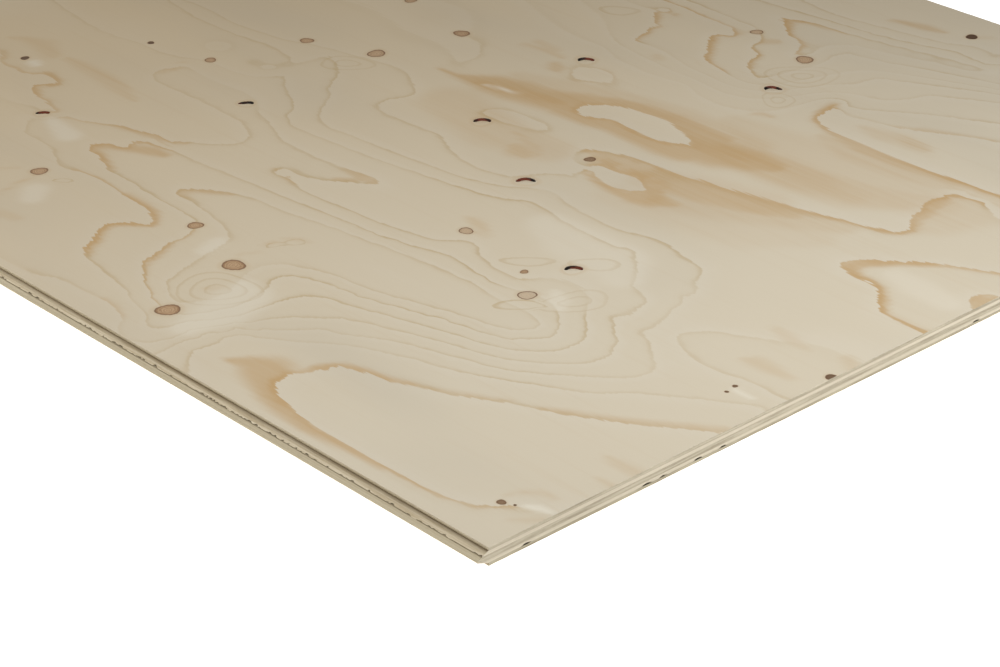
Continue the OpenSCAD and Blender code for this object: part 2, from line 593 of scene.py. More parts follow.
GROWTH_LINES: tuple[GrowthLine, ...] = (
    # Pale lens by the near tongue corner
    GrowthLine(10, 0.40, 9, (
        (0, 272), (30, 250), (60, 228), (110, 197), (135, 185), (165, 172), (200, 151), (230, 136))),
    GrowthLine(10, 0.95, 20, (
        (230, 136), (262, 122), (300, 113), (318, 103), (317, 90), (325, 78), (332, 60), (328, 48),
        (315, 38), (295, 30))),
    GrowthLine(10, 0.80, 8, (
        (295, 30), (270, 25), (250, 21), (200, 22), (150, 23), (100, 25), (75, 29), (55, 37), (42, 48),
        (35, 58))),
    # Lines that sweep from the lens round the first knots
    GrowthLine(9, 0.45, 6, (
        (10, 330), (55, 300), (75, 285), (100, 268), (125, 240), (155, 222), (180, 208), (205, 195),
        (225, 185), (250, 175), (280, 168), (300, 158), (340, 140), (370, 115), (400, 95), (425, 80),
        (428, 70), (423, 55), (428, 30), (418, 18), (392, 0))),
    GrowthLine(8, 0.45, 6, (
        (180, 352), (160, 345), (135, 325), (120, 312), (120, 288), (132, 275), (145, 262), (165, 245),
        (195, 222), (215, 210), (235, 203), (270, 192), (300, 183), (325, 172), (360, 150), (380, 143),
        (395, 125), (408, 108), (430, 97), (445, 70), (450, 40), (443, 0))),
    GrowthLine(7, 0.50, 6, (
        (217, 353), (200, 340), (180, 325), (172, 310), (165, 300), (165, 290), (172, 270), (190, 250),
        (215, 232), (240, 220), (270, 212), (300, 203), (330, 192), (365, 180), (385, 170), (400, 152),
        (418, 138), (430, 118), (435, 100), (445, 85), (460, 50), (458, 30), (465, 10))),
    GrowthLine(6, 0.55, 6, (
        (228, 332), (210, 315), (202, 300), (203, 275), (213, 258), (230, 245), (250, 235), (300, 222),
        (330, 213), (360, 205), (400, 192), (425, 187), (442, 175), (450, 160), (452, 130), (455, 100),
        (462, 85), (478, 60), (480, 45), (487, 30), (500, 32), (512, 40))),
    GrowthLine(5, 0.55, 6, (
        (250, 320), (245, 312), (235, 300), (227, 288), (232, 275), (245, 262), (262, 250), (290, 243),
        (330, 235), (360, 225), (400, 213), (440, 207), (470, 200), (490, 185), (490, 170), (478, 150),
        (470, 130), (472, 110), (480, 85), (485, 70))),
    GrowthLine(4, 0.35, 6, (
        (260, 300), (252, 295), (250, 283), (258, 272), (280, 262), (310, 255), (350, 245), (400, 230),
        (425, 225), (465, 220), (490, 208))),
    # Tongues that run out beyond the first knots
    GrowthLine(5, 0.80, 6, (
        (530, 65), (555, 75), (575, 85), (590, 95), (605, 105), (610, 120), (615, 135), (622, 145),
        (622, 165), (628, 180))),
    GrowthLine(5, 0.60, 5, (
        (645, 200), (670, 202), (700, 203), (740, 205), (775, 207), (800, 207), (820, 212))),
    GrowthLine(5, 0.95, 14, (
        (820, 212), (845, 222), (862, 226), (872, 233), (862, 240), (845, 250), (838, 258), (850, 272),
        (835, 280), (815, 284))),
    GrowthLine(5, 0.65, 6, (
        (815, 284), (800, 285), (750, 287), (700, 293), (650, 297), (600, 302), (550, 307), (500, 311),
        (455, 320), (420, 330), (400, 330), (385, 327), (350, 322))),
    GrowthLine(4, 0.40, 6, (
        (515, 77), (535, 83), (555, 97), (565, 120), (570, 135), (575, 155), (580, 170), (583, 185),
        (590, 197), (605, 207), (625, 213), (650, 218), (680, 222))),
    GrowthLine(4, 0.70, 12, (
        (680, 222), (700, 222), (712, 224), (718, 230), (710, 238), (700, 248), (685, 258), (668, 268),
        (650, 273))),
    GrowthLine(4, 0.35, 6, (
        (650, 273), (600, 277), (570, 283), (530, 290), (475, 297), (440, 301), (400, 305), (345, 308))),
    GrowthLine(6, 0.50, 6, ((565, 57), (580, 60), (610, 65), (640, 70), (660, 74))),
    GrowthLine(6, 0.95, 11, (
        (660, 74), (672, 85), (678, 97), (690, 110), (700, 125), (697, 138), (690, 148), (675, 155),
        (668, 163), (680, 172), (695, 178), (705, 182))),
    GrowthLine(6, 0.80, 6, ((705, 182), (750, 184), (775, 187), (800, 187), (825, 180))),
    GrowthLine(6, 0.60, 6, (
        (848, 175), (865, 185), (885, 193), (905, 197), (940, 199), (952, 205), (960, 215), (980, 228))),
    GrowthLine(6, 0.80, 9, (
        (955, 255), (930, 262), (905, 275), (890, 283), (870, 288), (850, 295), (815, 299), (805, 312))),
    GrowthLine(6, 0.45, 6, (
        (812, 305), (781, 328), (766, 355), (788, 377), (809, 384), (833, 387), (902, 388), (959, 386),
        (979, 393), (986, 406), (975, 438))),
    GrowthLine(7, 0.85, 9, (
        (965, 256), (980, 258), (1000, 263), (1025, 265), (1040, 275), (1055, 283), (1042, 288),
        (1032, 298), (1045, 308), (1065, 308), (1080, 294), (1100, 294), (1120, 291), (1140, 300),
        (1155, 308))),
    GrowthLine(7, 0.40, 7, ((505, 3), (520, 20), (545, 28), (560, 30), (600, 28), (635, 24), (655, 12))),
    # Hooked line and the long lines below it
    GrowthLine(6, 0.40, 6, (
        (812, 412), (790, 405), (770, 400), (755, 390), (740, 385), (700, 383), (670, 385), (640, 388))),
    GrowthLine(6, 0.65, 11, (
        (640, 388), (600, 393), (588, 388), (600, 380), (612, 372), (625, 360), (640, 350), (665, 342),
        (687, 334), (665, 332), (650, 327))),
    GrowthLine(6, 0.60, 6, (
        (650, 327), (630, 322), (600, 323), (560, 327), (520, 330), (475, 338), (450, 345), (430, 365),
        (415, 365), (400, 355), (370, 345), (335, 345))),
    GrowthLine(7, 0.60, 6, (
        (880, 500), (850, 478), (820, 463), (800, 448), (790, 430), (770, 419), (740, 419), (690, 423),
        (640, 427), (600, 433), (555, 440), (520, 447), (490, 453), (470, 462), (455, 472), (435, 473),
        (400, 465), (375, 464), (345, 463), (320, 463), (305, 468), (290, 458), (275, 445), (260, 430),
        (250, 415), (235, 410), (218, 400), (213, 385), (205, 375))),
    GrowthLine(8, 0.50, 6, (
        (890, 576), (870, 565), (855, 557), (840, 543), (825, 522), (815, 510), (800, 500), (785, 480),
        (770, 460), (755, 450), (735, 444), (690, 448), (640, 452), (600, 456), (550, 462), (520, 470),
        (500, 478), (485, 490))),
    GrowthLine(8, 0.50, 6, (
        (425, 496), (400, 493), (365, 490), (345, 491), (330, 497), (300, 503), (280, 500), (245, 493),
        (230, 490), (222, 478), (212, 460), (200, 447), (203, 432), (195, 425), (187, 400), (180, 385),
        (176, 365))),
    GrowthLine(8, 0.40, 7, (
        (0, 355), (40, 357), (80, 350), (110, 352), (138, 362), (150, 375), (145, 390), (130, 405),
        (100, 422), (85, 432))),
    # Edge of the brown flame and its pale islands
    GrowthLine(9, 0.30, 7, (
        (1150, 560), (1100, 563), (1050, 558), (1000, 563), (960, 570), (930, 583), (870, 597), (820, 607),
        (800, 607))),
    GrowthLine(9, 0.45, 6, (
        (800, 607), (785, 600), (770, 592), (755, 582), (742, 572), (742, 560), (747, 545), (750, 535),
        (745, 522), (730, 514), (700, 513), (650, 517), (635, 517), (620, 507), (605, 502), (590, 495),
        (560, 490), (535, 492), (510, 500))),
    GrowthLine(9, 0.50, 6, ((497, 525), (485, 537), (467, 550), (470, 563), (477, 575))),
    GrowthLine(9, 0.75, 10, ((510, 605), (495, 612), (475, 622), (450, 627), (420, 630))),
    GrowthLine(9, 0.80, 40, (
        (420, 630), (400, 632), (375, 637), (340, 643), (315, 650), (290, 653), (255, 660), (225, 668))),
    GrowthLine(9, 0.85, 16, (
        (225, 668), (200, 675), (170, 683), (155, 690), (152, 700), (157, 710), (165, 720), (172, 735),
        (172, 750), (180, 758), (183, 775), (178, 785), (180, 798), (165, 803), (140, 808))),
    GrowthLine(9, 0.85, 10, (
        (395, 580), (410, 590), (430, 590), (455, 586), (472, 580), (470, 572), (455, 565), (435, 560),
        (420, 558), (405, 565), (398, 570), (395, 580))),
    GrowthLine(10, 0.95, 16, (
        (440, 700), (455, 705), (475, 712), (490, 718), (505, 722), (525, 720), (550, 715), (565, 710),
        (580, 700), (590, 688), (592, 675), (585, 668), (570, 666), (560, 670), (550, 680), (535, 683),
        (520, 680), (505, 677), (485, 676), (465, 680), (450, 690), (435, 698), (440, 700))),
    GrowthLine(9.92, 0.95, 0, ((610, 672), (640, 664), (670, 655), (705, 645), (735, 641))),
    GrowthLine(9.70, 0.80, 0, ((735, 641), (760, 640), (778, 639))),
    GrowthLine(9.90, 0.90, 0, ((425, 702), (400, 705), (375, 711))),
    GrowthLine(9.75, 0.80, 0, (
        (355, 690), (350, 715), (365, 732), (420, 738), (480, 746), (540, 744), (590, 725), (620, 702),
        (660, 692), (700, 682), (730, 662))),
    GrowthLine(9.60, 0.70, 0, (
        (380, 680), (420, 668), (460, 656), (520, 652), (600, 645), (640, 636), (690, 628), (740, 630))),
    GrowthLine(8.90, 0.80, 0, ((375, 560), (368, 572), (378, 586), (400, 600), (440, 605), (475, 597))),
    GrowthLine(8.72, 0.70, 0, ((350, 575), (340, 590), (300, 612), (250, 630))),
    GrowthLine(9.66, 0.90, 0, ((360, 40), (384, 52), (372, 70), (350, 80))),
    # Pale wood by the near end
    GrowthLine(8, 0.85, 11, (
        (0, 542), (30, 543), (55, 545), (65, 555), (78, 568), (88, 580), (105, 585), (120, 584), (135, 588),
        (148, 595), (145, 606), (138, 618), (122, 632), (110, 642), (100, 652), (90, 660), (75, 668),
        (50, 682), (30, 692), (0, 705))),
    GrowthLine(7, 0.80, 9, ((0, 612), (10, 622), (17, 634), (12, 645), (0, 652))),
    # The log's next turn: second lens, knots and tongues
    GrowthLine(10, 0.95, 10, (
        (410, 890), (405, 875), (400, 860), (400, 850), (395, 842), (385, 837), (370, 832))),
    GrowthLine(10, 0.85, 18, (
        (370, 832), (350, 830), (320, 827), (270, 826), (230, 827), (190, 830), (150, 832), (120, 836),
        (80, 842), (45, 850), (0, 858))),
    GrowthLine(10, 0.45, 9, (
        (0, 1080), (60, 1037), (110, 1000), (170, 960), (200, 945), (230, 935), (265, 920), (290, 905),
        (310, 895), (335, 885), (360, 880))),
    GrowthLine(9, 0.45, 6, (
        (0, 1130), (50, 1093), (100, 1048), (155, 1016), (200, 993), (255, 976), (275, 965), (315, 945),
        (345, 925), (375, 903), (400, 890))),
    GrowthLine(5, 0.75, 6, (
        (515, 880), (530, 888), (545, 897), (556, 910), (560, 925), (565, 935), (580, 940), (587, 950),
        (588, 962), (598, 975))),
    GrowthLine(6, 0.90, 9, (
        (560, 868), (590, 876), (600, 882), (608, 897), (620, 910), (632, 925), (640, 938), (634, 948),
        (622, 955), (632, 962), (640, 972), (690, 975), (720, 977), (755, 978), (790, 978))),
    GrowthLine(7, 0.85, 9, (
        (690, 860), (695, 875), (698, 890), (705, 903), (700, 912), (712, 917), (720, 925), (730, 935),
        (738, 943), (728, 952), (712, 956))),
    GrowthLine(5, 0.60, 6, ((640, 993), (700, 996), (735, 998), (780, 1000))),
    GrowthLine(4, 0.90, 10, (
        (535, 960), (542, 975), (550, 990), (565, 1000), (580, 1002), (590, 1010), (597, 1018), (610, 1030),
        (625, 1034), (610, 1042), (600, 1047), (590, 1052))),
    GrowthLine(4, 0.60, 6, (
        (590, 1052), (550, 1056), (510, 1061), (480, 1066), (450, 1072), (420, 1078), (400, 1081),
        (350, 1088))),
    GrowthLine(5, 0.60, 6, (
        (690, 1060), (640, 1065), (600, 1070), (560, 1073), (510, 1078), (480, 1085), (445, 1095),
        (420, 1103), (390, 1100), (375, 1097))),
    GrowthLine(6, 0.40, 6, (
        (640, 1098), (600, 1092), (560, 1094), (540, 1098), (500, 1105), (470, 1110), (440, 1116),
        (415, 1131), (395, 1130), (380, 1122))),
    GrowthLine(8, 0.45, 6, (
        (40, 1170), (90, 1135), (140, 1098), (190, 1066), (240, 1040), (292, 1021), (338, 993), (355, 984),
        (369, 950), (386, 932))),
    GrowthLine(7, 0.45, 6, (
        (110, 1155), (150, 1125), (200, 1090), (250, 1064), (307, 1040), (362, 1012), (406, 990),
        (427, 977), (431, 946))),
    GrowthLine(5, 0.45, 6, (
        (170, 1165), (200, 1135), (240, 1102), (280, 1080), (325, 1063), (345, 1058), (381, 1046),
        (418, 1034), (447, 1023), (475, 1016), (498, 1012), (504, 990))),
    # Long lines across the middle of the sheet
    GrowthLine(8, 0.40, 8, ((900, 8), (980, 28), (1080, 40), (1200, 52), (1340, 74), (1480, 84))),
    GrowthLine(7, 0.45, 8, (
        (760, 10), (820, 38), (900, 60), (1000, 74), (1100, 84), (1220, 104), (1340, 130), (1480, 142))),
    GrowthLine(7, 0.50, 8, ((1155, 308), (1190, 316), (1240, 322), (1300, 335), (1400, 342), (1500, 340))),
    GrowthLine(7, 0.45, 6, (
        (1500, 500), (1400, 486), (1310, 464), (1260, 450), (1215, 440), (1148, 432), (1104, 433),
        (1068, 440), (1030, 441), (1003, 448))),
    GrowthLine(8, 0.40, 7, ((1500, 622), (1400, 612), (1300, 588), (1220, 562), (1140, 545))),
    GrowthLine(9, 0.40, 7, ((1500, 652), (1400, 640), (1300, 612), (1220, 580), (1150, 560))),
    GrowthLine(10, 0.45, 7, ((1500, 770), (1400, 758), (1300, 728), (1200, 708), (1120, 700), (1060, 702))),
    GrowthLine(9, 0.45, 7, ((1000, 860), (1100, 850), (1220, 856), (1340, 880), (1480, 892))),
    GrowthLine(8, 0.45, 7, ((940, 930), (1060, 915), (1200, 925), (1340, 955), (1480, 970))),
    GrowthLine(7, 0.45, 7, ((880, 1000), (1000, 985), (1140, 990), (1340, 1030), (1480, 1040))),
    GrowthLine(6, 0.45, 7, ((860, 1060), (1000, 1050), (1150, 1060), (1340, 1100), (1480, 1112))),
    # Faint lines further off, and loops below two open knots
    GrowthLine(8, 0.35, 7, (
        (1140, 545), (1090, 537), (1040, 537), (1000, 540), (960, 545), (930, 541), (912, 535), (905, 522),
        (915, 508), (935, 498))),
    GrowthLine(10, 0.40, 6, ((775, 668), (773, 685), (777, 700), (787, 712), (800, 722), (815, 722))),
    GrowthLine(10, 0.75, 5, (
        (618, 752), (627, 766), (640, 772), (660, 770), (675, 755), (668, 738), (650, 732), (635, 739),
        (622, 748), (618, 752))),
    GrowthLine(10, 0.65, 5, (
        (573, 610), (585, 621), (600, 617), (620, 620), (640, 615), (655, 603), (650, 590), (620, 590),
        (590, 598), (573, 610))),
)

FACE_WHORLS: tuple[Whorl, ...] = (
    Whorl(510, 121, 41, 34, 118, 3, 0.38), Whorl(262, 352, 34, 22, 120, 2, 0.28),
    Whorl(860, 575, 34, 20, 150, 2, 0.30), Whorl(549, 222, 11, 6, 105, 1, 0.60),
    Whorl(540, 240, 12, 7, 125, 1, 0.60), Whorl(306, 421, 24, 14, 146, 1, 0.55),
    Whorl(356, 376, 26, 11, 140, 1, 0.50), Whorl(292, 310, 25, 11, 132, 1, 0.50),
    Whorl(768, 915, 26, 15, 136, 1, 0.50), Whorl(487, 922, 38, 34, 133, 3, 0.30),
    Whorl(460, 851, 22, 19, 0, 2, 0.28), Whorl(814, 158, 11, 6, 139, 1, 0.55),
)

# Ring values held in the clear wood between the lines: ring, along, across
CLEAR_WOOD: tuple[tuple[float, float, float], ...] = (
    (10.4, 80, 150), (10.4, 180, 90), (10.3, 250, 70), (3.5, 500, 265), (3.5, 600, 250), (3.6, 650, 245),
    (3.6, 520, 130), (3.6, 560, 220), (4.5, 740, 245), (4.6, 800, 245), (7.4, 60, 610), (7.4, 40, 640),
    (7.5, 90, 620), (8.4, 250, 540), (9.3, 250, 760), (9.4, 300, 780), (9.4, 600, 790), (10.4, 100, 900),
    (10.3, 250, 870), (6.4, 540, 395), (5.5, 700, 350), (5.6, 760, 360), (6.5, 900, 350), (6.6, 1000, 340),
    (6.4, 850, 150), (6.6, 1000, 400), (8.4, 1000, 500), (7.5, 1050, 470), (6.7, 1100, 400), (9.5, 950, 650),
    (10.3, 900, 750), (9.3, 560, 520), (9.3, 600, 540), (9.4, 700, 560), (9.6, 800, 660), (9.5, 720, 720),
    (9.45, 560, 800), (9.45, 700, 810),
)

FACE_KNOTS: tuple[Knot, ...] = (
    Knot(508, 62, 22), Knot(541, 165, 22), Knot(637, 192, 15), Knot(850, 153, 17),
    Knot(303, 328, 17, dark=-0.5), Knot(341, 360, 8, dark=0.2), Knot(446, 380, 14, dark=-0.3),
    Knot(972, 468, 13), Knot(860, 618, 20, dark=-0.12), Knot(944, 585, 15), Knot(840, 730, 18, dark=0.08),
    Knot(518, 960, 20, dark=-0.1), Knot(612, 983, 14, dark=-0.2), Knot(960, 757, 14), Knot(279, 1136, 16),
    Knot(974, 242, 16, KnotKind.HOLE), Knot(313, 398, 19, KnotKind.HOLE), Knot(846, 420, 17, KnotKind.HOLE),
    Knot(492, 504, 21, KnotKind.HOLE), Knot(636, 575, 21, KnotKind.HOLE), Knot(684, 778, 21, KnotKind.HOLE),
    Knot(484, 870, 22, KnotKind.HOLE), Knot(44, 55, 8, dark=0.55), Knot(33, 60, 3, dark=0.8),
    Knot(49, 341, 5, dark=0.7), Knot(47, 328, 4, dark=0.7), Knot(2, 416, 11, dark=0.75),
    Knot(20, 863, 9, dark=0.3), Knot(24, 1140, 7, dark=0.8), Knot(486, 590, 12, dark=0.5),
    Knot(1060, 450, 8, dark=0.8), Knot(1119, 318, 10, dark=0.8), Knot(434, 1153, 14, dark=0.9),
)

FACE_FLAMES: tuple[Flame, ...] = (
    # Round the end of the pale lens
    Flame(0.75, (
        (150, 21, 3), (200, 19, 5), (250, 16, 7), (290, 22, 10), (315, 31, 14), (337, 48, 22),
        (354, 56, 24), (374, 53, 12), (392, 43, 4))),
    Flame(0.75, ((325, 92, 7), (312, 108, 8), (292, 116, 6), (262, 124, 2))),
    Flame(0.35, ((235, 136, 3), (200, 153, 6), (165, 174, 3))),
    Flame(0.40, ((135, 186, 4), (112, 199, 7), (80, 218, 6), (50, 240, 6), (0, 275, 8))),
    # By the near end
    Flame(0.80, (
        (55, 546, 5), (72, 562, 9), (90, 580, 8), (120, 586, 6), (137, 598, 9), (132, 613, 9),
        (112, 641, 9), (98, 653, 9), (84, 661, 5))),
    Flame(0.40, ((84, 661, 4), (50, 682, 4), (0, 706, 5))),
    Flame(0.75, ((0, 632, 17), (6, 632, 12))),
    Flame(0.60, (
        (195, 676, 4), (158, 690, 8), (151, 704, 8), (162, 727, 9), (168, 752, 10), (173, 785, 8))),
    Flame(0.20, ((150, 705, 12), (142, 735, 28), (140, 770, 36), (138, 805, 34))),
    # Broad haze over the long dark line, and its pale island
    Flame(0.50, (
        (255, 644, 14), (300, 630, 24), (350, 618, 29), (400, 611, 26), (440, 605, 22), (480, 601, 14))),
    Flame(0.22, ((200, 660, 16), (255, 635, 26), (310, 612, 34), (360, 590, 36))),
    Flame(0.55, (
        (215, 670, 4), (250, 657, 7), (290, 647, 6), (340, 639, 5), (400, 629, 5), (450, 623, 4),
        (490, 609, 5), (506, 604, 6))),
    Flame(0.70, (
        (348, 574, 6), (372, 567, 18), (386, 560, 15), (402, 554, 7), (440, 555, 4), (470, 566, 4))),
    Flame(0.65, ((383, 584, 9), (405, 597, 10), (440, 596, 7), (476, 585, 6))),
    # Two arms round the second island and their tail
    Flame(0.75, ((345, 716, 16), (375, 709, 27), (405, 700, 35), (435, 692, 33))),
    Flame(0.28, ((240, 722, 16), (290, 718, 24), (345, 716, 28))),
    Flame(0.75, (
        (430, 674, 22), (450, 667, 17), (500, 664, 12), (530, 668, 14), (560, 659, 12), (600, 668, 24))),
    Flame(0.75, (
        (430, 722, 20), (450, 724, 18), (500, 732, 12), (550, 727, 11), (580, 713, 14), (600, 690, 26))),
    Flame(0.80, (
        (600, 683, 33), (625, 672, 28), (650, 665, 26), (675, 661, 28), (700, 656, 24), (722, 649, 15),
        (750, 641, 5), (778, 640, 2))),
    Flame(0.22, ((395, 742, 20), (500, 750, 16), (600, 722, 20), (700, 690, 14))),
    Flame(0.85, ((382, 714, 3), (415, 714, 3))),
    # The log's next turn
    Flame(0.60, (
        (0, 855, 5), (45, 846, 5), (100, 834, 6), (160, 828, 7), (200, 823, 9), (260, 818, 10),
        (310, 817, 10), (350, 824, 7), (372, 831, 3))),
    Flame(0.25, ((170, 812, 8), (240, 802, 14), (310, 800, 16), (360, 812, 8))),
    Flame(0.85, ((366, 830, 5), (392, 842, 6), (403, 860, 7), (406, 876, 7), (411, 889, 3))),
    Flame(0.40, ((248, 857, 4), (280, 868, 13), (306, 885, 14), (332, 882, 4))),
    Flame(0.28, ((300, 901, 8), (270, 918, 6), (232, 935, 4))),
    Flame(0.85, ((588, 872, 5), (600, 887, 6), (618, 909, 6), (634, 932, 6), (641, 943, 4))),
    Flame(0.75, ((693, 876, 4), (700, 890, 6), (706, 902, 6))),
    Flame(0.80, ((712, 916, 4), (728, 934, 7), (738, 943, 5))),
    Flame(0.70, ((545, 897, 4), (557, 912, 5), (563, 930, 5), (582, 941, 3))),
    Flame(0.40, ((575, 978, 7), (588, 966, 8), (592, 956, 4))),
    Flame(0.35, ((625, 966, 8), (638, 962, 6))),
    Flame(0.85, ((583, 1004, 4), (598, 1020, 6), (611, 1032, 10), (626, 1033, 5))),
    Flame(0.70, ((611, 1036, 7), (596, 1048, 4), (540, 1057, 3))),
    Flame(0.55, ((464, 1141, 4), (490, 1137, 9), (518, 1130, 6), (532, 1125, 3))),
    Flame(0.25, ((424, 1160, 5), (406, 1173, 6))),
    # Tips of the tongues by the knots
    Flame(0.85, (
        (655, 76, 3), (670, 86, 7), (676, 99, 6), (688, 111, 6), (698, 126, 7), (694, 138, 7),
        (684, 148, 5), (666, 161, 3), (678, 172, 4), (690, 178, 7), (712, 183, 5), (745, 185, 3))),
    Flame(0.70, ((600, 104, 3), (607, 119, 5), (614, 136, 4), (622, 148, 3))),
    Flame(0.75, (
        (800, 209, 3), (833, 220, 5), (858, 227, 7), (868, 234, 6), (853, 244, 6), (836, 256, 9),
        (812, 268, 10), (796, 272, 7))),
    Flame(0.60, ((850, 270, 4), (835, 280, 5), (800, 286, 3))),
    Flame(0.50, ((690, 224, 3), (710, 229, 7), (708, 239, 6), (692, 251, 6), (672, 263, 4))),
    Flame(0.55, ((640, 388, 3), (615, 388, 7), (594, 388, 6))),
    Flame(0.50, ((626, 364, 5), (612, 376, 5))),
    Flame(0.55, ((648, 329, 4), (664, 335, 6), (688, 334, 3))),
    Flame(0.75, ((1018, 265, 4), (1038, 276, 6), (1053, 284, 4))),
    Flame(0.70, ((1034, 294, 6), (1040, 305, 6), (1062, 310, 6))),
    Flame(0.50, ((1138, 301, 5), (1154, 311, 5))),
    Flame(0.60, ((892, 282, 4), (862, 289, 5), (830, 297, 6), (806, 306, 5))),
    Flame(0.32, ((935, 336, 4), (970, 343, 10), (1010, 350, 12), (1060, 353, 10), (1085, 352, 5))),
    Flame(0.32, ((1105, 345, 10), (1140, 358, 15), (1165, 352, 8), (1182, 342, 4))),
    Flame(0.35, ((528, 21, 4), (550, 29, 6), (568, 31, 4))),
    Flame(0.32, ((980, 404, 4), (982, 424, 8), (986, 440, 5))),
    Flame(0.30, ((770, 72, 6), (792, 67, 8))),
)

# Tinges that lie over the figure
FACE_PATCHES: tuple[Flame, ...] = (
    # Haze between the brown flame and the log's next turn
    Flame(0.30, (
        (410, 705, 18), (356, 712, 30), (303, 716, 34), (244, 728, 34), (202, 749, 26), (181, 769, 16))),
    Flame(0.18, ((452, 772, 16), (346, 765, 44), (260, 760, 54), (190, 765, 40))),
    Flame(0.11, ((402, 550, 26), (328, 561, 34), (254, 583, 36), (200, 620, 20))),
    Flame(0.20, ((410, 602, 24), (350, 622, 30), (290, 642, 28))),
    Flame(0.22, ((530, 575, 26), (600, 565, 36), (700, 590, 36))),
    # Loose patches
    Flame(0.45, ((540, 548, 10), (552, 552, 17), (560, 557, 13))),
    Flame(0.40, ((535, 560, 9), (548, 570, 8), (592, 581, 3))),
    Flame(0.45, ((681, 733, 3), (690, 738, 9), (700, 744, 7))),
    Flame(0.30, ((708, 764, 4), (736, 766, 6), (768, 760, 4))),
    Flame(0.26, ((728, 776, 4), (762, 777, 6))),
    Flame(0.30, ((430, 392, 4), (446, 398, 8), (460, 402, 6), (466, 401, 4))),
    Flame(0.22, ((420, 388, 3), (436, 386, 4))),
    Flame(0.22, ((349, 862, 5), (322, 861, 12), (299, 866, 13), (265, 864, 7))),
    Flame(0.26, ((22, 388, 3), (48, 388, 9), (66, 389, 10), (76, 384, 5))),
    Flame(0.20, ((52, 440, 3), (78, 444, 8), (98, 449, 5))),
    Flame(0.22, ((0, 443, 6), (16, 453, 6))),
    Flame(0.26, ((0, 170, 7), (25, 169, 6), (38, 170, 3))),
    Flame(0.20, ((0, 140, 5), (16, 140, 3))),
    Flame(0.22, ((49, 64, 2), (45, 77, 3), (36, 87, 4), (26, 91, 4), (17, 89, 3))),
    Flame(0.18, ((20, 40, 2), (8, 52, 4), (0, 62, 4))),
    Flame(0.30, ((552, 213, 2), (556, 224, 3), (547, 230, 2))),
    Flame(0.30, ((554, 236, 2), (543, 247, 3), (531, 248, 2))),
    Flame(0.20, ((522, 112, 2), (516, 119, 4), (510, 127, 3))),
    Flame(0.20, ((557, 181, 2), (552, 192, 2), (546, 202, 2))),
    Flame(0.34, ((845, 141, 2), (840, 117, 2), (832, 93, 2))),
    Flame(0.24, ((886, 124, 2), (872, 143, 2))),
    Flame(0.25, ((632, 842, 6), (640, 846, 5))),
    Flame(0.34, ((453, 802, 3), (446, 810, 5), (433, 812, 4))),
)

# How places (along, across) on the far half are scaled and shifted to take their figure from the near half
TURN_SCALE: Array = np.array([0.80, 0.86])
TURN_SHIFT: Array = np.array([0.0, 84.0])
# Shares of the length at which the far half's figure is alone, and at which it starts to blend in
BLEND_SHARES: Place = (0.63, 0.53)
# How strong the lines are where both halves weigh the same
BLEND_TONE = 0.6
# How strong the far half's streaks are
TURN_TONE = 0.7

# Gaps in the lower glue line on the near end: place across from the middle of the sheet, and length
END_VOIDS: tuple[Place, ...] = ((-556, 7), (-417, 9), (-398, 5), (-355, 8), (-324, 5), (21, 8))

FACE_BLEACHED: tuple[Flame, ...] = (
    Flame(0.95, ((4, 72, 2), (10, 72, 3), (18, 70, 4), (26, 64, 3))),
    Flame(0.60, ((24, 335, 3), (44, 336, 4))),
    Flame(0.40, ((468, 55, 16), (470, 95, 28), (480, 128, 28), (500, 146, 12))),
    Flame(0.28, ((400, 450, 24), (350, 442, 36), (300, 440, 36), (270, 420, 22))),
    Flame(0.30, ((24, 604, 14), (64, 610, 18), (96, 616, 12))),
    Flame(0.45, ((262, 332, 6), (275, 342, 10), (290, 352, 5))),
    Flame(0.35, ((585, 165, 10), (592, 185, 10))),
    Flame(0.70, ((667, 656, 2), (690, 651, 3), (708, 648, 2))),
    Flame(0.35, ((905, 228, 14), (950, 238, 8))),
    Flame(0.45, ((1094, 316, 6), (1102, 318, 7))),
    Flame(0.30, ((800, 110, 12), (815, 125, 14))),
)


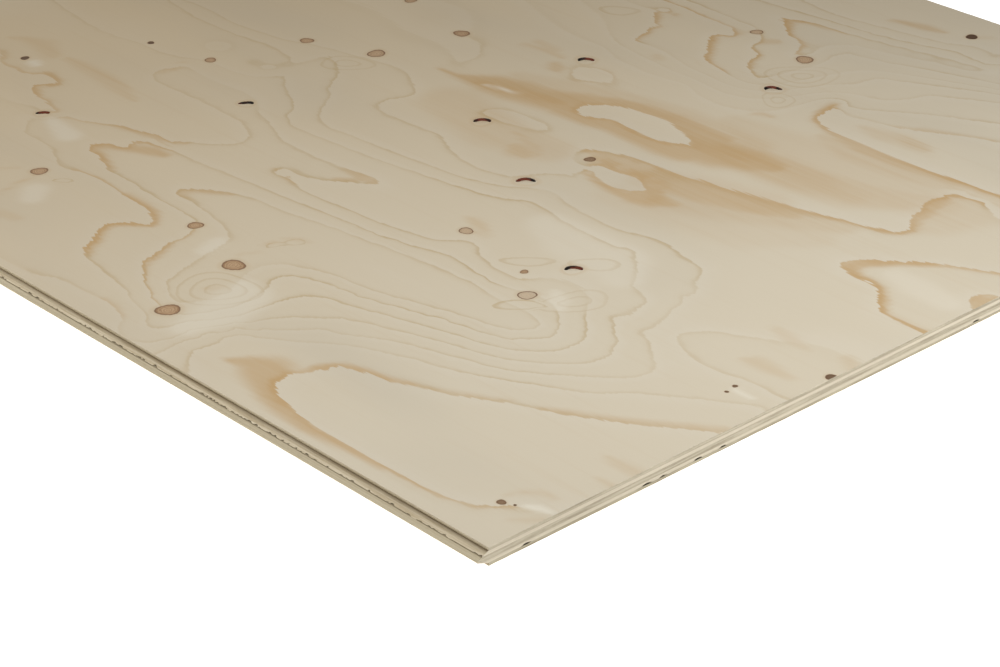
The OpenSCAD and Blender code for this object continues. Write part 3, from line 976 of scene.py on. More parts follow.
@dataclass
class RingField:
    """Growth rings over a veneer, spread from the drawn lines.

    The ring number at a place is a constant less a weighted sum of the distances to all the lines' points.
    The weights are those that give every point its own ring number, so the field changes evenly between them.

    Attributes:
        lines: The lines.
        held: Ring values (ring, along, across) that are held in the clear wood.
        step: Distance between two points on a line.
        light_offset: Distance beside a line at which the pale wood's value is held.
        light_rise: How far that value lies above the line's.
        late_drop: How far the value where the late wood has faded lies below the line's.
        unit: Length that the distances are counted in.
        give: How far the field may miss a value, which keeps the weights small.
        tone_reach: Distance within which a line's tone is full.
        tone_far: Distance at which the tone sinks to its base.
        tone_base: Tone far from any line.
        base_count: Number of points at that distance that the base weighs as much as.
        chunk: Number of places worked out at once.
        points: All the places with a value.
        middles: Those that lie on the lines.
        tones: Tones on the lines.
        weights: The weights of the places, then the constant.
    """

    lines: Sequence[GrowthLine]
    held: Sequence[tuple[float, float, float]]
    step: float = 12.0
    light_offset: float = 9.0
    light_rise: float = 0.18
    late_drop: float = 0.34
    unit: float = 100.0
    give: float = 0.002
    tone_reach: float = 8.0
    tone_far: float = 20.0
    tone_base: float = 0.10
    base_count: float = 6.0
    chunk: int = 4000
    points: Array = field(init=False)
    middles: Array = field(init=False)
    tones: Array = field(init=False)
    weights: Array = field(init=False)

    def __post_init__(self) -> None:
        """Places points along the lines and at the held places, and solves for their weights."""
        held = np.array(self.held)
        points, rings = [held[:, 1:]], [held[:, 0]]
        middles, tones = [], []
        for line in self.lines:
            middle = self.curve(line.points)
            points.append(middle)
            rings.append(np.full(len(middle), line.ring))
            middles.append(middle)
            tones.append(np.full(len(middle), line.tone))
            if line.fade > 0:
                way = np.gradient(middle, axis=0)
                way /= np.maximum(np.linalg.norm(way, axis=1), 1e-9)[:, None]
                left = np.stack([way[:, 1], -way[:, 0]], axis=1)
                points += [(middle + left * self.light_offset)[1:-1:2], (middle - left * line.fade)[1:-1:2]]
                half = len(middle[1:-1:2])
                rings.append(np.full(half, line.ring + self.light_rise))
                rings.append(np.full(half, line.ring - self.late_drop))
        self.points = np.vstack(points)
        self.middles = np.vstack(middles)
        self.tones = np.concatenate(tones)
        self.solve(np.concatenate(rings))

    def curve(self, points: Sequence[Place]) -> Array:
        """Draws a smooth curve through some points, by the Catmull-Rom cubic, with a point about every step.

        Args:
            points: Places on the curve.

        Returns:
            Rows of (along, across).
        """
        p = np.asarray(points, float)
        q = np.vstack([2 * p[0] - p[1], p, 2 * p[-1] - p[-2]])
        pieces = []
        for a, b, c, d in zip(q[:-3], q[1:-2], q[2:-1], q[3:]):
            count = max(int(np.hypot(*(c - b)) / self.step), 1)
            t = np.arange(count)[:, None] / count
            bend = (2 * a - 5 * b + 4 * c - d) * t**2 + (3 * b - a - 3 * c + d) * t**3
            pieces.append(0.5 * (2 * b + (c - a) * t + bend))
        return np.vstack([*pieces, p[-1:]])

    def solve(self, rings: Array) -> None:
        """Finds the weights from the distances between all pairs of points.

        Args:
            rings: Ring number at each point.
        """
        count = len(self.points)
        gap = self.points[:, None, :] - self.points[None, :, :]
        system = np.ones((count + 1, count + 1))
        system[:count, :count] = -np.hypot(gap[..., 0], gap[..., 1]) / self.unit + np.eye(count) * self.give
        system[count, count] = 0.0
        self.weights = np.linalg.solve(system, np.append(rings, 0.0))

    def sample(self, places: Array) -> tuple[Array, Array]:
        """Ring number and tone at many places.

        The tone is the mean of the lines' tones, weighted by the inverse sixth power of their distance, and
        it sinks to a faint base far from any line.

        Args:
            places: Rows of (along, across).

        Returns:
            The ring numbers and the tones.
        """
        ring = np.empty(len(places))
        tone = np.empty(len(places))
        base = self.base_count / (self.tone_far**2 + self.tone_reach**2) ** 3
        for start in range(0, len(places), self.chunk):
            part = places[start:start + self.chunk].astype(np.float32)
            gap = part[:, None, :] - self.points[None].astype(np.float32)
            far = np.sqrt(gap[..., 0] ** 2 + gap[..., 1] ** 2)
            ring[start:start + self.chunk] = self.weights[-1] - far @ (self.weights[:-1] / self.unit)
            gap = part[:, None, :] - self.middles[None].astype(np.float32)
            near = 1.0 / (gap[..., 0] ** 2 + gap[..., 1] ** 2 + self.tone_reach**2) ** 3
            total = near.sum(axis=1) + base
            tone[start:start + self.chunk] = (near @ self.tones + base * self.tone_base) / total
        return ring, tone


class Shell:
    """Surface patches that are welded into one closed mesh."""

    def __init__(self) -> None:
        """Starts with no patches."""
        self.points: list[Array] = []
        self.faces: list[Array] = []
        self.sides: list[Array] = []
        self.count = 0

    def add(self, points: Array, faces: Array, side: Side) -> None:
        """Adds points and the faces between them.

        Args:
            points: The points.
            faces: Rows of their numbers.
            side: Side that the faces belong to.
        """
        self.points.append(points.reshape(-1, 3))
        self.faces.append(faces + self.count)
        self.sides.append(np.full(len(faces), side.value))
        self.count += len(self.points[-1])

    def grid(self, points: Array, side: Side, flip: bool, keep: Array | None = None) -> None:
        """Adds a grid of quads.

        Args:
            points: Grid of points, rows by columns by 3.
            side: Side that the quads belong to.
            flip: True where rows to columns turns against the outward side.
            keep: Cells that are kept, or None for all.
        """
        rows, columns = points.shape[:2]
        index = np.arange(rows * columns).reshape(rows, columns)
        quads = np.stack([index[:-1, :-1], index[1:, :-1], index[1:, 1:], index[:-1, 1:]], axis=-1)
        quads = quads.reshape(-1, 4) if keep is None else quads[keep]
        self.add(points, quads[:, ::-1] if flip else quads, side)

    def lid(self, near: Array, far: Array, left: Array, right: Array, flip: bool) -> None:
        """Closes a hidden flat side with strips across it and a fan at each end.

        Args:
            near: Points of the border at the +X end, from left to right.
            far: Points of the border at the -X end, from left to right.
            left: Points of the border at -Y, from far to near.
            right: Points of the border at +Y, from far to near.
            flip: True for a lid that faces down.
        """
        count = len(left)
        index = np.arange(1, count - 2)
        strips = np.stack([index, index + 1, index + 1 + count, index + count], axis=1)
        self.add(np.vstack([left, right]), strips[:, ::-1] if flip else strips, Side.LONG_EDGE)
        for border, inner, turn in ((near, count - 2, flip), (far, 1, not flip)):
            half = len(border) // 2
            corner = np.array([len(border), len(border) + 1])
            start = np.arange(len(border) - 1)
            apex = np.where(start < half, corner[0], corner[1])
            fan = np.stack([start, start + 1, apex], axis=1)
            fan = np.vstack([fan, [half, corner[1], corner[0]]])
            points = np.vstack([border, left[inner], right[inner]])
            self.add(points, fan[:, ::-1] if turn else fan, Side.LONG_EDGE)

    def weld(self) -> tuple[Array, list[list[int]], Array]:
        """Joins points that lie within a step of each other.

        Returns:
            The points, the faces and the side of each face.
        """
        points = np.vstack(self.points)
        keys = np.round(points * STEPS_PER_MM).astype(np.int64)
        _, first, place = np.unique(keys, axis=0, return_index=True, return_inverse=True)
        place = place.reshape(-1)
        faces = [row for block in self.faces for row in place[block].tolist()]
        return points[first], faces, np.concatenate(self.sides)


@dataclass
class Veneer:
    """One veneer of the sheet: a slice of its section, run the length of the sheet.

    Attributes:
        node: Name of the CAD node that it stands for.
        slot: Material slot of the record; not used.
        along_step: Length of its mesh cells along the sheet.
        across_step: Length of its mesh cells across the sheet.
        rows: Heights of its mesh rows on the edges, as shares of its thickness.
        arris: Width of the narrow cells along its borders.
        draw_in: Depth of the groove in which two veneers meet.
        seed: Start of its random numbers.
        low: Lowest corner of its box.
        high: Highest corner of its box.
        left_line: Its tongue-side edge, as rows of (Z, Y).
        right_line: Its groove-side edge, likewise.
    """

    node: str
    slot: str
    along_step: float = 6.1
    across_step: float = 6.1
    rows: tuple[float, ...] = (0.0, 0.1, 0.35, 0.65, 0.9, 1.0)
    arris: float = 0.5
    draw_in: float = 0.12
    seed: int = 1
    low: Array = field(init=False)
    high: Array = field(init=False)
    left_line: Array = field(init=False)
    right_line: Array = field(init=False)

    def measure(self, cad: bpy.types.Object) -> None:
        """Reads the veneer's section from its CAD solid, as the Y of both edges at each height.

        Args:
            cad: The solid.
        """
        low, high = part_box(self.node)
        self.low = np.array(low) / MM
        self.high = np.array(high) / MM
        flat = np.empty(len(cad.data.vertices) * 3, np.float32)
        cad.data.vertices.foreach_get("co", flat)
        section = np.unique(np.round(flat.reshape(-1, 3)[:, 1:] / MM, 3), axis=0)
        heights = np.unique(section[:, 1])
        levels = [section[section[:, 1] == z, 0] for z in heights]
        ends = np.array([[y.min(), y.max(), z] for y, z in zip(levels, heights)])
        middle = 0.5 * (self.low[1] + self.high[1])
        self.left_line = ends[ends[:, 0] < middle][:, [2, 0]]
        self.right_line = ends[ends[:, 1] > middle][:, [2, 1]]

    def left(self, z: Array) -> Array:
        """Y of the tongue-side edge at a height."""
        return np.interp(z, self.left_line[:, 0], self.left_line[:, 1])

    def right(self, z: Array) -> Array:
        """Y of the groove-side edge at a height."""
        return np.interp(z, self.right_line[:, 0], self.right_line[:, 1])

    def columns(self) -> Array:
        """Places the mesh columns, with a narrow one at each arris.

        Returns:
            Their X.
        """
        count = round((self.high[0] - self.low[0]) / self.along_step)
        inner = np.linspace(self.low[0], self.high[0], count + 1)
        ease = [self.low[0] + self.arris, self.high[0] - self.arris]
        return np.sort(np.append(inner, ease))

    def shares(self) -> Array:
        """Places the mesh lines across the veneer, with a narrow cell at each arris.

        Returns:
            Their shares of the width.
        """
        width = self.high[1] - self.low[1]
        inner = np.linspace(0.0, 1.0, round(width / self.across_step) + 1)
        return np.sort(np.append(inner, [self.arris / width, 1.0 - self.arris / width]))

    def flat_points(self, z: float) -> Array:
        """Places a grid of points over the veneer.

        Args:
            z: Its height.

        Returns:
            The points, along by across.
        """
        x, share = np.meshgrid(self.columns(), self.shares(), indexing="ij")
        left, right = self.left(z), self.right(z)
        return np.stack([x, left + share * (right - left), np.full_like(x, z)], axis=-1)

    def edge_points(self, side: Callable[[Array], Array]) -> Array:
        """Places a grid of points on a long edge.

        Args:
            side: Gives the edge's Y at each height.

        Returns:
            The points, along by height.
        """
        x, row = np.meshgrid(self.columns(), self.rows, indexing="ij")
        z = self.low[2] + row * (self.high[2] - self.low[2])
        return np.stack([x, side(z), z], axis=-1)

    def end_points(self, x: float) -> Array:
        """Places a grid of points on a short end.

        Args:
            x: Its X.

        Returns:
            The points, across by height.
        """
        share, row = np.meshgrid(self.shares(), self.rows, indexing="ij")
        z = self.low[2] + row * (self.high[2] - self.low[2])
        left, right = self.left(z), self.right(z)
        return np.stack([np.full_like(z, x), left + share * (right - left), z], axis=-1)

    def skin(self, shell: Shell) -> None:
        """Adds the two flat sides. Here both are hidden by glue."""
        self.close(shell, self.high[2], False)
        self.close(shell, self.low[2], True)

    def close(self, shell: Shell, z: float, down: bool) -> None:
        """Adds a hidden flat side at a height."""
        flat = self.flat_points(z)
        shell.lid(flat[-1], flat[0], flat[:, 0], flat[:, -1], down)

    def relief(self, points: Array) -> tuple[Array, dict[str, Array]]:
        """Moves the welded points and gives what the finishes read from them.

        Each joint line is drawn in a little, so that two veneers meet in a fine groove.

        Args:
            points: The welded points.

        Returns:
            The moved points, and a value for each point by name.
        """
        joint = self.joints(points)
        moved = points.copy()
        for axis, low, high in self.edges(points):
            moved[low, axis] += self.draw_in * joint[low]
            moved[high, axis] -= self.draw_in * joint[high]
        return moved, {"joint": joint, "torn": np.zeros(len(points)), "burn": np.zeros(len(points))}

    def joints(self, points: Array) -> Array:
        """1 on the lines where this veneer meets the next, 0 elsewhere."""
        gap = np.abs(points[:, 2:] - np.array([self.low[2], self.high[2]])).min(axis=1)
        return np.where(gap < TOUCH, 1.0, 0.0)

    def edges(self, points: Array) -> tuple[tuple[int, Array, Array], ...]:
        """Finds the points on the edges.

        Args:
            points: The welded points.

        Returns:
            For X and for Y, the axis and which points lie on its lower and on its higher edge.
        """
        x, y, z = points.T
        return (
            (0, x < self.low[0] + TOUCH, x > self.high[0] - TOUCH),
            (1, y < self.left(z) + TOUCH, y > self.right(z) - TOUCH),
        )

    def build(self, cad: bpy.types.Object, finishes: Sequence[bpy.types.Material]) -> bpy.types.Object:
        """Makes the veneer's object.

        Args:
            cad: The CAD solid that it stands for.
            finishes: Materials of its flat sides, long edges and short ends.

        Returns:
            The object, riding on the sheet.
        """
        self.measure(cad)
        shell = Shell()
        shell.grid(self.edge_points(self.left), Side.LONG_EDGE, False)
        shell.grid(self.edge_points(self.right), Side.LONG_EDGE, True)
        shell.grid(self.end_points(self.high[0]), Side.SHORT_END, False)
        shell.grid(self.end_points(self.low[0]), Side.SHORT_END, True)
        self.skin(shell)
        points, faces, sides = shell.weld()
        points, values = self.relief(points)
        mesh = bpy.data.meshes.new(f"{self.node}_dressed")
        mesh.from_pydata((points * MM).tolist(), [], faces)
        mesh.polygons.foreach_set("material_index", sides.astype(np.int32))
        for name, value in values.items():
            vector = value.ndim == 2
            layer = mesh.attributes.new(name, "FLOAT_VECTOR" if vector else "FLOAT", "POINT")
            layer.data.foreach_set("vector" if vector else "value", value.astype(np.float32).ravel())
        for finish in finishes:
            mesh.materials.append(finish)
        mesh.update()
        piece = bpy.data.objects.new(f"{self.node}_dressed", mesh)
        bpy.context.scene.collection.objects.link(piece)
        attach(piece, "root")
        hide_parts(self.node)
        log.info("%s: %d faces", piece.name, len(faces))
        return piece


@dataclass
class Figured(Veneer):
    """An outer veneer, with one flat side on show: figure, flames, and knots with real holes.

    Attributes:
        up: True for the face, whose upper side shows; False for the back.
        knots: Its knots.
        flames: Its brown streaks.
        patches: Its tinges that lie over the figure.
        bleached: Its pale streaks.
        whorls: Its nested ovals of rings.
        mirrored: True to count across from the other long edge.
        lean: Direction in which the branches leaned, where an open knot is deepest.
        field_of_rings: Its growth rings.
        hole_depth: Depth of an open knot.
        hole_slope: Where its floor starts and ends to fall, on the line of the lean, 1 at the rim.
        knot_dip: How low a sound knot lies.
        knot_rings: Radii of the mesh rings round a knot, as shares of its own.
        knot_split: Points of a ring for each point of the square round it.
        knot_swell: How far a knot swells with twice and three times the angle.
        rim_share: Share of the radius within which a knot is sunk.
        seat_reach: Half side of the square round a knot, as a share of its size.
        crowd: Shares of the way to the square that the middle and the outermost ring keep to.
        far: How far out a point counts as lying where there is no knot.
        wear: Least wear of the arris, and how much more there can be.
        wear_length: Length over which the wear changes.
        oval_swell: How far a whorl swells with twice and three times the angle.
        oval_end: Where a whorl's tone has faded, and where it starts to, 1 on the outermost oval.
        stroke_soft: Softness of a streak's edge, and how much it grows with each millimetre of half width.
        seats: Each knot and the points round its square.
        rounds: Each knot's points and what the finish reads from them.
    """

    up: bool = True
    knots: tuple[Knot, ...] = ()
    flames: tuple[Flame, ...] = ()
    patches: tuple[Flame, ...] = ()
    bleached: tuple[Flame, ...] = ()
    whorls: tuple[Whorl, ...] = ()
    mirrored: bool = False
    lean: float = math.radians(137.0)
    field_of_rings: RingField | None = None
    hole_depth: float = 2.9
    hole_slope: Place = (-0.35, 0.6)
    knot_dip: float = 0.12
    knot_rings: tuple[float, ...] = (1.35, 1.08, 1.0, 0.87, 0.6, 0.25)
    knot_split: int = 2
    knot_swell: Place = (0.07, 0.05)
    rim_share: float = 0.97
    seat_reach: float = 0.62
    crowd: Place = (0.6, 0.92)
    far: float = 3.0
    wear: Place = (0.105, 0.315)
    wear_length: float = 9.0
    oval_swell: Place = (0.10, 0.08)
    oval_end: Place = (1.3, 1.06)
    stroke_soft: Place = (2.5, 0.35)
    seats: list[tuple[Knot, Array]] = field(init=False, default_factory=list)
    rounds: list[tuple[Array, Array]] = field(init=False, default_factory=list)

    def skin(self, shell: Shell) -> None:
        """Adds the side on show, with a round patch let in at each knot, and the hidden side.

        Args:
            shell: Where they go.
        """
        shown, hidden = (self.high[2], self.low[2]) if self.up else (self.low[2], self.high[2])
        self.close(shell, hidden, self.up)
        flat = self.flat_points(shown)
        keep = np.ones((flat.shape[0] - 1, flat.shape[1] - 1), bool)
        for knot in self.knots:
            seat = self.seat(knot, flat, keep)
            if seat is not None:
                self.seats.append((knot, seat))
        shell.grid(flat, Side.FLAT, not self.up, keep)
        self.rounds = [self.round_patch(shell, knot, seat, shown) for knot, seat in self.seats]

    def place(self, points: Array) -> Array:
        """Places (along, across) of points of the veneer."""
        across = self.high[1] - points[:, 1] if self.mirrored else points[:, 1] - self.low[1]
        return np.stack([self.high[0] - points[:, 0], across], axis=1)

    def spot(self, knot: Knot) -> Place:
        """X and Y of a knot's middle."""
        across = self.high[1] - knot.across if self.mirrored else self.low[1] + knot.across
        return self.high[0] - knot.along, across

    def sink(self, knot: Knot, toward: Array) -> Array:
        """Works out the depth of a knot's floor.

        Args:
            knot: The knot.
            toward: Places on the line in which the branch leaned, 1 at the rim.

        Returns:
            The depth at each place.
        """
        if knot.kind is KnotKind.HOLE:
            return self.hole_depth * smoothstep(*self.hole_slope, toward)
        return np.full_like(toward, self.knot_dip)

    def seat(self, knot: Knot, flat: Array, keep: Array) -> Array | None:
        """Takes a square of cells out of the grid for a knot.

        Args:
            knot: The knot.
            flat: Points of the grid.
            keep: Cells that are still in the grid; the square is taken out of it.

        Returns:
            The points round the square, which is moved in from the veneer's border, or None where the knot
            lies outside it or its square meets another knot's.
        """
        x, y = self.spot(knot)
        first, last = self.bracket(flat[:, 0, 0], x, knot.size * self.seat_reach)
        left, right = self.bracket(flat[0, :, 1], y, knot.size * self.seat_reach)
        block = flat[first:last + 1, left:right + 1]
        if min(block.shape[:2]) < 2 or not keep[first:last, left:right].all():
            return None
        if not (block[0, 0, 0] < x < block[-1, 0, 0] and block[0, 0, 1] < y < block[0, -1, 1]):
            return None
        keep[first:last, left:right] = False
        return np.concatenate([block[:-1, 0], block[-1, :-1], block[:0:-1, -1], block[0, :0:-1]])

    @staticmethod
    def bracket(lines: Array, middle: float, reach: float) -> tuple[int, int]:
        """Finds the grid lines on both sides of a knot, short of the narrow cells at the border.

        Args:
            lines: Places of the grid lines.
            middle: Place of the knot's middle.
            reach: Least distance of the lines from it.

        Returns:
            The numbers of the two lines.
        """
        first = int(np.searchsorted(lines, middle - reach, "right")) - 1
        last = int(np.searchsorted(lines, middle + reach, "left"))
        return max(first, 1), min(last, len(lines) - 2)

    def stitch(self, shell: Shell, border: Array, ring: Array) -> None:
        """Joins a square's border to a ring that has several points for each of its own.

        Args:
            shell: Where the triangles go.
            border: Points round the square.
            ring: Points of the ring, starting in line with the border's first.
        """
        count = len(border)
        split = len(ring) // count
        edge = np.repeat(np.arange(count), split)
        step = np.tile(np.arange(split), count)
        here = np.arange(len(ring))
        apex = np.where(2 * step < split, edge, (edge + 1) % count)
        slim = np.stack([apex, (here + 1) % len(ring) + count, here + count], axis=1)
        own = np.arange(count)
        wide = np.stack([own, (own + 1) % count, own * split + (split + 1) // 2 + count], axis=1)
        faces = np.vstack([slim, wide])
        shell.add(np.vstack([border, ring]), faces if self.up else faces[:, ::-1], Side.FLAT)

    def round_patch(self, shell: Shell, knot: Knot, border: Array, z: float) -> tuple[Array, Array]:
        """Fills a square with rings round a knot.

        Ring by ring, a point goes from the square's border to the knot's middle along a straight line. The
        radius swells and shrinks with twice and three times the angle, so that no knot is a true circle.
        Where the border is near, the rings are drawn in, and the knot is cut off there.

        Args:
            shell: Where the patch goes.
            knot: The knot.
            border: Points round the square.
            z: Height of the flat side.

        Returns:
            The patch's points, and what the finish reads from them: how far out each lies, the knot's kind
            plus its darkness, and how far the point is sunk into an open knot.
        """
        centre = np.array([*self.spot(knot), z])
        part = np.arange(self.knot_split)[:, None] / self.knot_split
        around = border[:, None] + part * (np.roll(border, -1, axis=0) - border)[:, None]
        offset = around.reshape(-1, 3) - centre
        angle = np.arctan2(offset[:, 1], offset[:, 0])
        phase = np.random.default_rng(int(knot.along * 7 + knot.across)).uniform(0.0, math.tau, 2)
        twice, thrice = (s * np.cos(n * angle + p) for n, s, p in zip((2, 3), self.knot_swell, phase))
        radius = 0.5 * knot.size * (1.0 + twice + thrice)
        share = np.array(self.knot_rings)[:, None]
        outer = np.linalg.norm(offset[:, :2], axis=1)
        inmost, outmost = self.crowd
        span = np.minimum(radius * share, outer * (inmost + (outmost - inmost) * share / share[0]))
        ring_xy = span * np.stack([np.cos(angle), np.sin(angle)])[:, None, :]
        sink = self.sink(knot, share * np.cos(angle - self.lean)) * (share < self.rim_share)
        down = -1.0 if self.up else 1.0
        rings = np.stack([centre[0] + ring_xy[0], centre[1] + ring_xy[1], z + down * sink], axis=-1)
        closed = np.concatenate([rings, rings[:, :1]], axis=1)
        shell.grid(closed, Side.FLAT, self.up)
        self.stitch(shell, border, rings[0])
        last = rings[-1]
        floor = self.sink(knot, np.zeros(1))
        middle = np.array([[centre[0], centre[1], z + down * floor[0]]])
        count = len(last)
        start = np.arange(count)
        fan = np.stack([start, (start + 1) % count, np.full(count, count)], axis=1)
        shell.add(np.vstack([last, middle]), fan if self.up else fan[:, ::-1], Side.FLAT)
        edge_ways = (outer / radius)[:: self.knot_split]
        ways = np.concatenate([edge_ways, (span / radius).ravel(), np.zeros(1)])
        patch = np.vstack([border, rings.reshape(-1, 3), middle])
        is_open = knot.kind is KnotKind.HOLE
        sunk = np.concatenate([np.zeros(len(border)), sink.ravel(), floor]) / self.hole_depth * is_open
        return patch, np.stack([ways, np.full_like(ways, knot.kind.value + knot.dark), sunk], axis=1)

    def relief(self, points: Array) -> tuple[Array, dict[str, Array]]:
        """Adds the figure's values and a worn arris to what every veneer has.

        Args:
            points: The welded points.

        Returns:
            The moved points, and a value for each point by name.
        """
        moved, values = super().relief(points)
        places = self.place(points)
        values["ring"], values["tone"] = self.rings(places)
        values["whorl"], values["whorl_tone"] = self.ovals(places)
        values["late_wood"] = self.strokes(places, self.flames)
        values["patch"] = self.strokes(places, self.patches)
        values["bleached"] = self.strokes(places, self.bleached)
        shown = self.high[2] if self.up else self.low[2]
        depth = np.abs(points[:, 2] - shown)
        # Painted shade down the tongue-side edge: darker away from the side on show, towards the inner corner
        # of the tongue's shoulder
        values["burn"] = depth / (self.high[2] - self.low[2]) * (points[:, 1] < self.low[1] + TOUCH)
        values["knot"] = self.knot_values(points)
        on_rim = depth < TOUCH
        values["joint"] = np.where(on_rim, 0.0, values["joint"])
        least, more = self.wear
        down = -1.0 if self.up else 1.0
        for axis, low, high in self.edges(points):
            wear = least + more * wander(points[:, 1 - axis], self.wear_length, self.seed + axis) ** 3
            for edge in (low, high):
                rim = on_rim & edge
                moved[rim, axis] = points[rim, axis]
                moved[rim, 2] += down * wear[rim]
        return moved, values

    def rings(self, places: Array) -> tuple[Array, Array]:
        """Reads the drawn figure on the near half, and its turned, drawn-out form on the far half.

        Args:
            places: Rows of (along, across).

        Returns:
            The ring numbers, and the tones, which are fainter where the halves blend.
        """
        near_share, turned = self.halves(places)
        ring = np.zeros(len(places))
        tone = np.zeros(len(places))
        for part, share in ((places, near_share), (turned, 1.0 - near_share)):
            used = share > 0.0
            ring_part, tone_part = self.field_of_rings.sample(part[used])
            ring[used] += share[used] * ring_part
            tone[used] += share[used] * tone_part
        return ring, tone * (BLEND_TONE + (1.0 - BLEND_TONE) * (2.0 * near_share - 1.0) ** 2)

    def halves(self, places: Array) -> tuple[Array, Array]:
        """Share of the near half's figure at each place, and the turned place of the far half's."""
        size = (self.high - self.low)[:2]
        return smoothstep(*BLEND_SHARES, places[:, 0] / size[0]), (size - places) * TURN_SCALE + TURN_SHIFT

    def ovals(self, places: Array) -> tuple[Array, Array]:
        """Ring number and tone within the whorls.

        A place belongs to the whorl in whose ovals it lies deepest. How far out it lies is the length of its
        offset from the middle, in half lengths and half widths, which swells with twice and three times the
        angle.

        Args:
            places: Rows of (along, across).

        Returns:
            The ring numbers, whole on each oval, and the tones, which fade outside the outermost one.
        """
        near_share, turned = self.halves(places)
        drawn = np.where((near_share > 0.5)[:, None], places, turned)
        deepest = np.full(len(places), np.inf)
        ring = np.zeros(len(places))
        tone = np.zeros(len(places))
        for whorl in self.whorls:
            lean = math.radians(whorl.lean)
            middle = (whorl.along, whorl.across)
            offset = drawn - np.array(middle)
            long = (offset @ np.array([math.cos(lean), math.sin(lean)])) / whorl.long
            wide = (offset @ np.array([-math.sin(lean), math.cos(lean)])) / whorl.wide
            angle = np.arctan2(wide, long)
            twice, thrice = (s * np.cos(n * angle + p) for n, s, p in zip((2, 3), self.oval_swell, middle))
            out = np.hypot(long, wide) * (1.0 + twice + thrice)
            inner = out < deepest
            deepest = np.where(inner, out, deepest)
            ring = np.where(inner, out * whorl.rings, ring)
            tone = np.where(inner, whorl.tone * smoothstep(*self.oval_end, out), tone)
        return ring, tone

    def strokes(self, places: Array, flames: Sequence[Flame]) -> Array:
        """The strongest of some streaks at each place.

        A streak is full up to its half width from the nearest place on its stroke, and then falls off.

        Args:
            places: Rows of (along, across).
            flames: The streaks.

        Returns:
            The tones.
        """
        total = np.zeros(len(places))
        for flame in flames:
            stroke = np.array(flame.points)
            for start, end in zip(stroke[:-1], stroke[1:]):
                way = end[:2] - start[:2]
                share = np.clip((places - start[:2]) @ way / (way @ way), 0.0, 1.0)
                gap = np.linalg.norm(places - start[:2] - share[:, None] * way, axis=1)
                half = start[2] + share * (end[2] - start[2])
                soft = self.stroke_soft[0] + self.stroke_soft[1] * half
                total = np.maximum(total, flame.tone * smoothstep(soft, -soft, gap - half))
        return total

    def knot_values(self, points: Array) -> Array:
        """Gives each welded point what the finish reads there.

        Args:
            points: The welded points.

        Returns:
            The values of the knots' patches, and far out elsewhere.
        """
        values = np.tile([self.far, 0.0, 0.0], (len(points), 1))
        if self.rounds:
            patch = np.vstack([p for p, _ in self.rounds])
            ways = np.vstack([w for _, w in self.rounds])
            keys = np.round(np.vstack([points, patch]) * STEPS_PER_MM).astype(np.int64)
            _, place = np.unique(keys, axis=0, return_inverse=True)
            place = place.reshape(-1)
            slots = np.full(place.max() + 1, -1)
            slots[place[: len(points)]] = np.arange(len(points))
            values[slots[place[len(points):]]] = ways
        return values


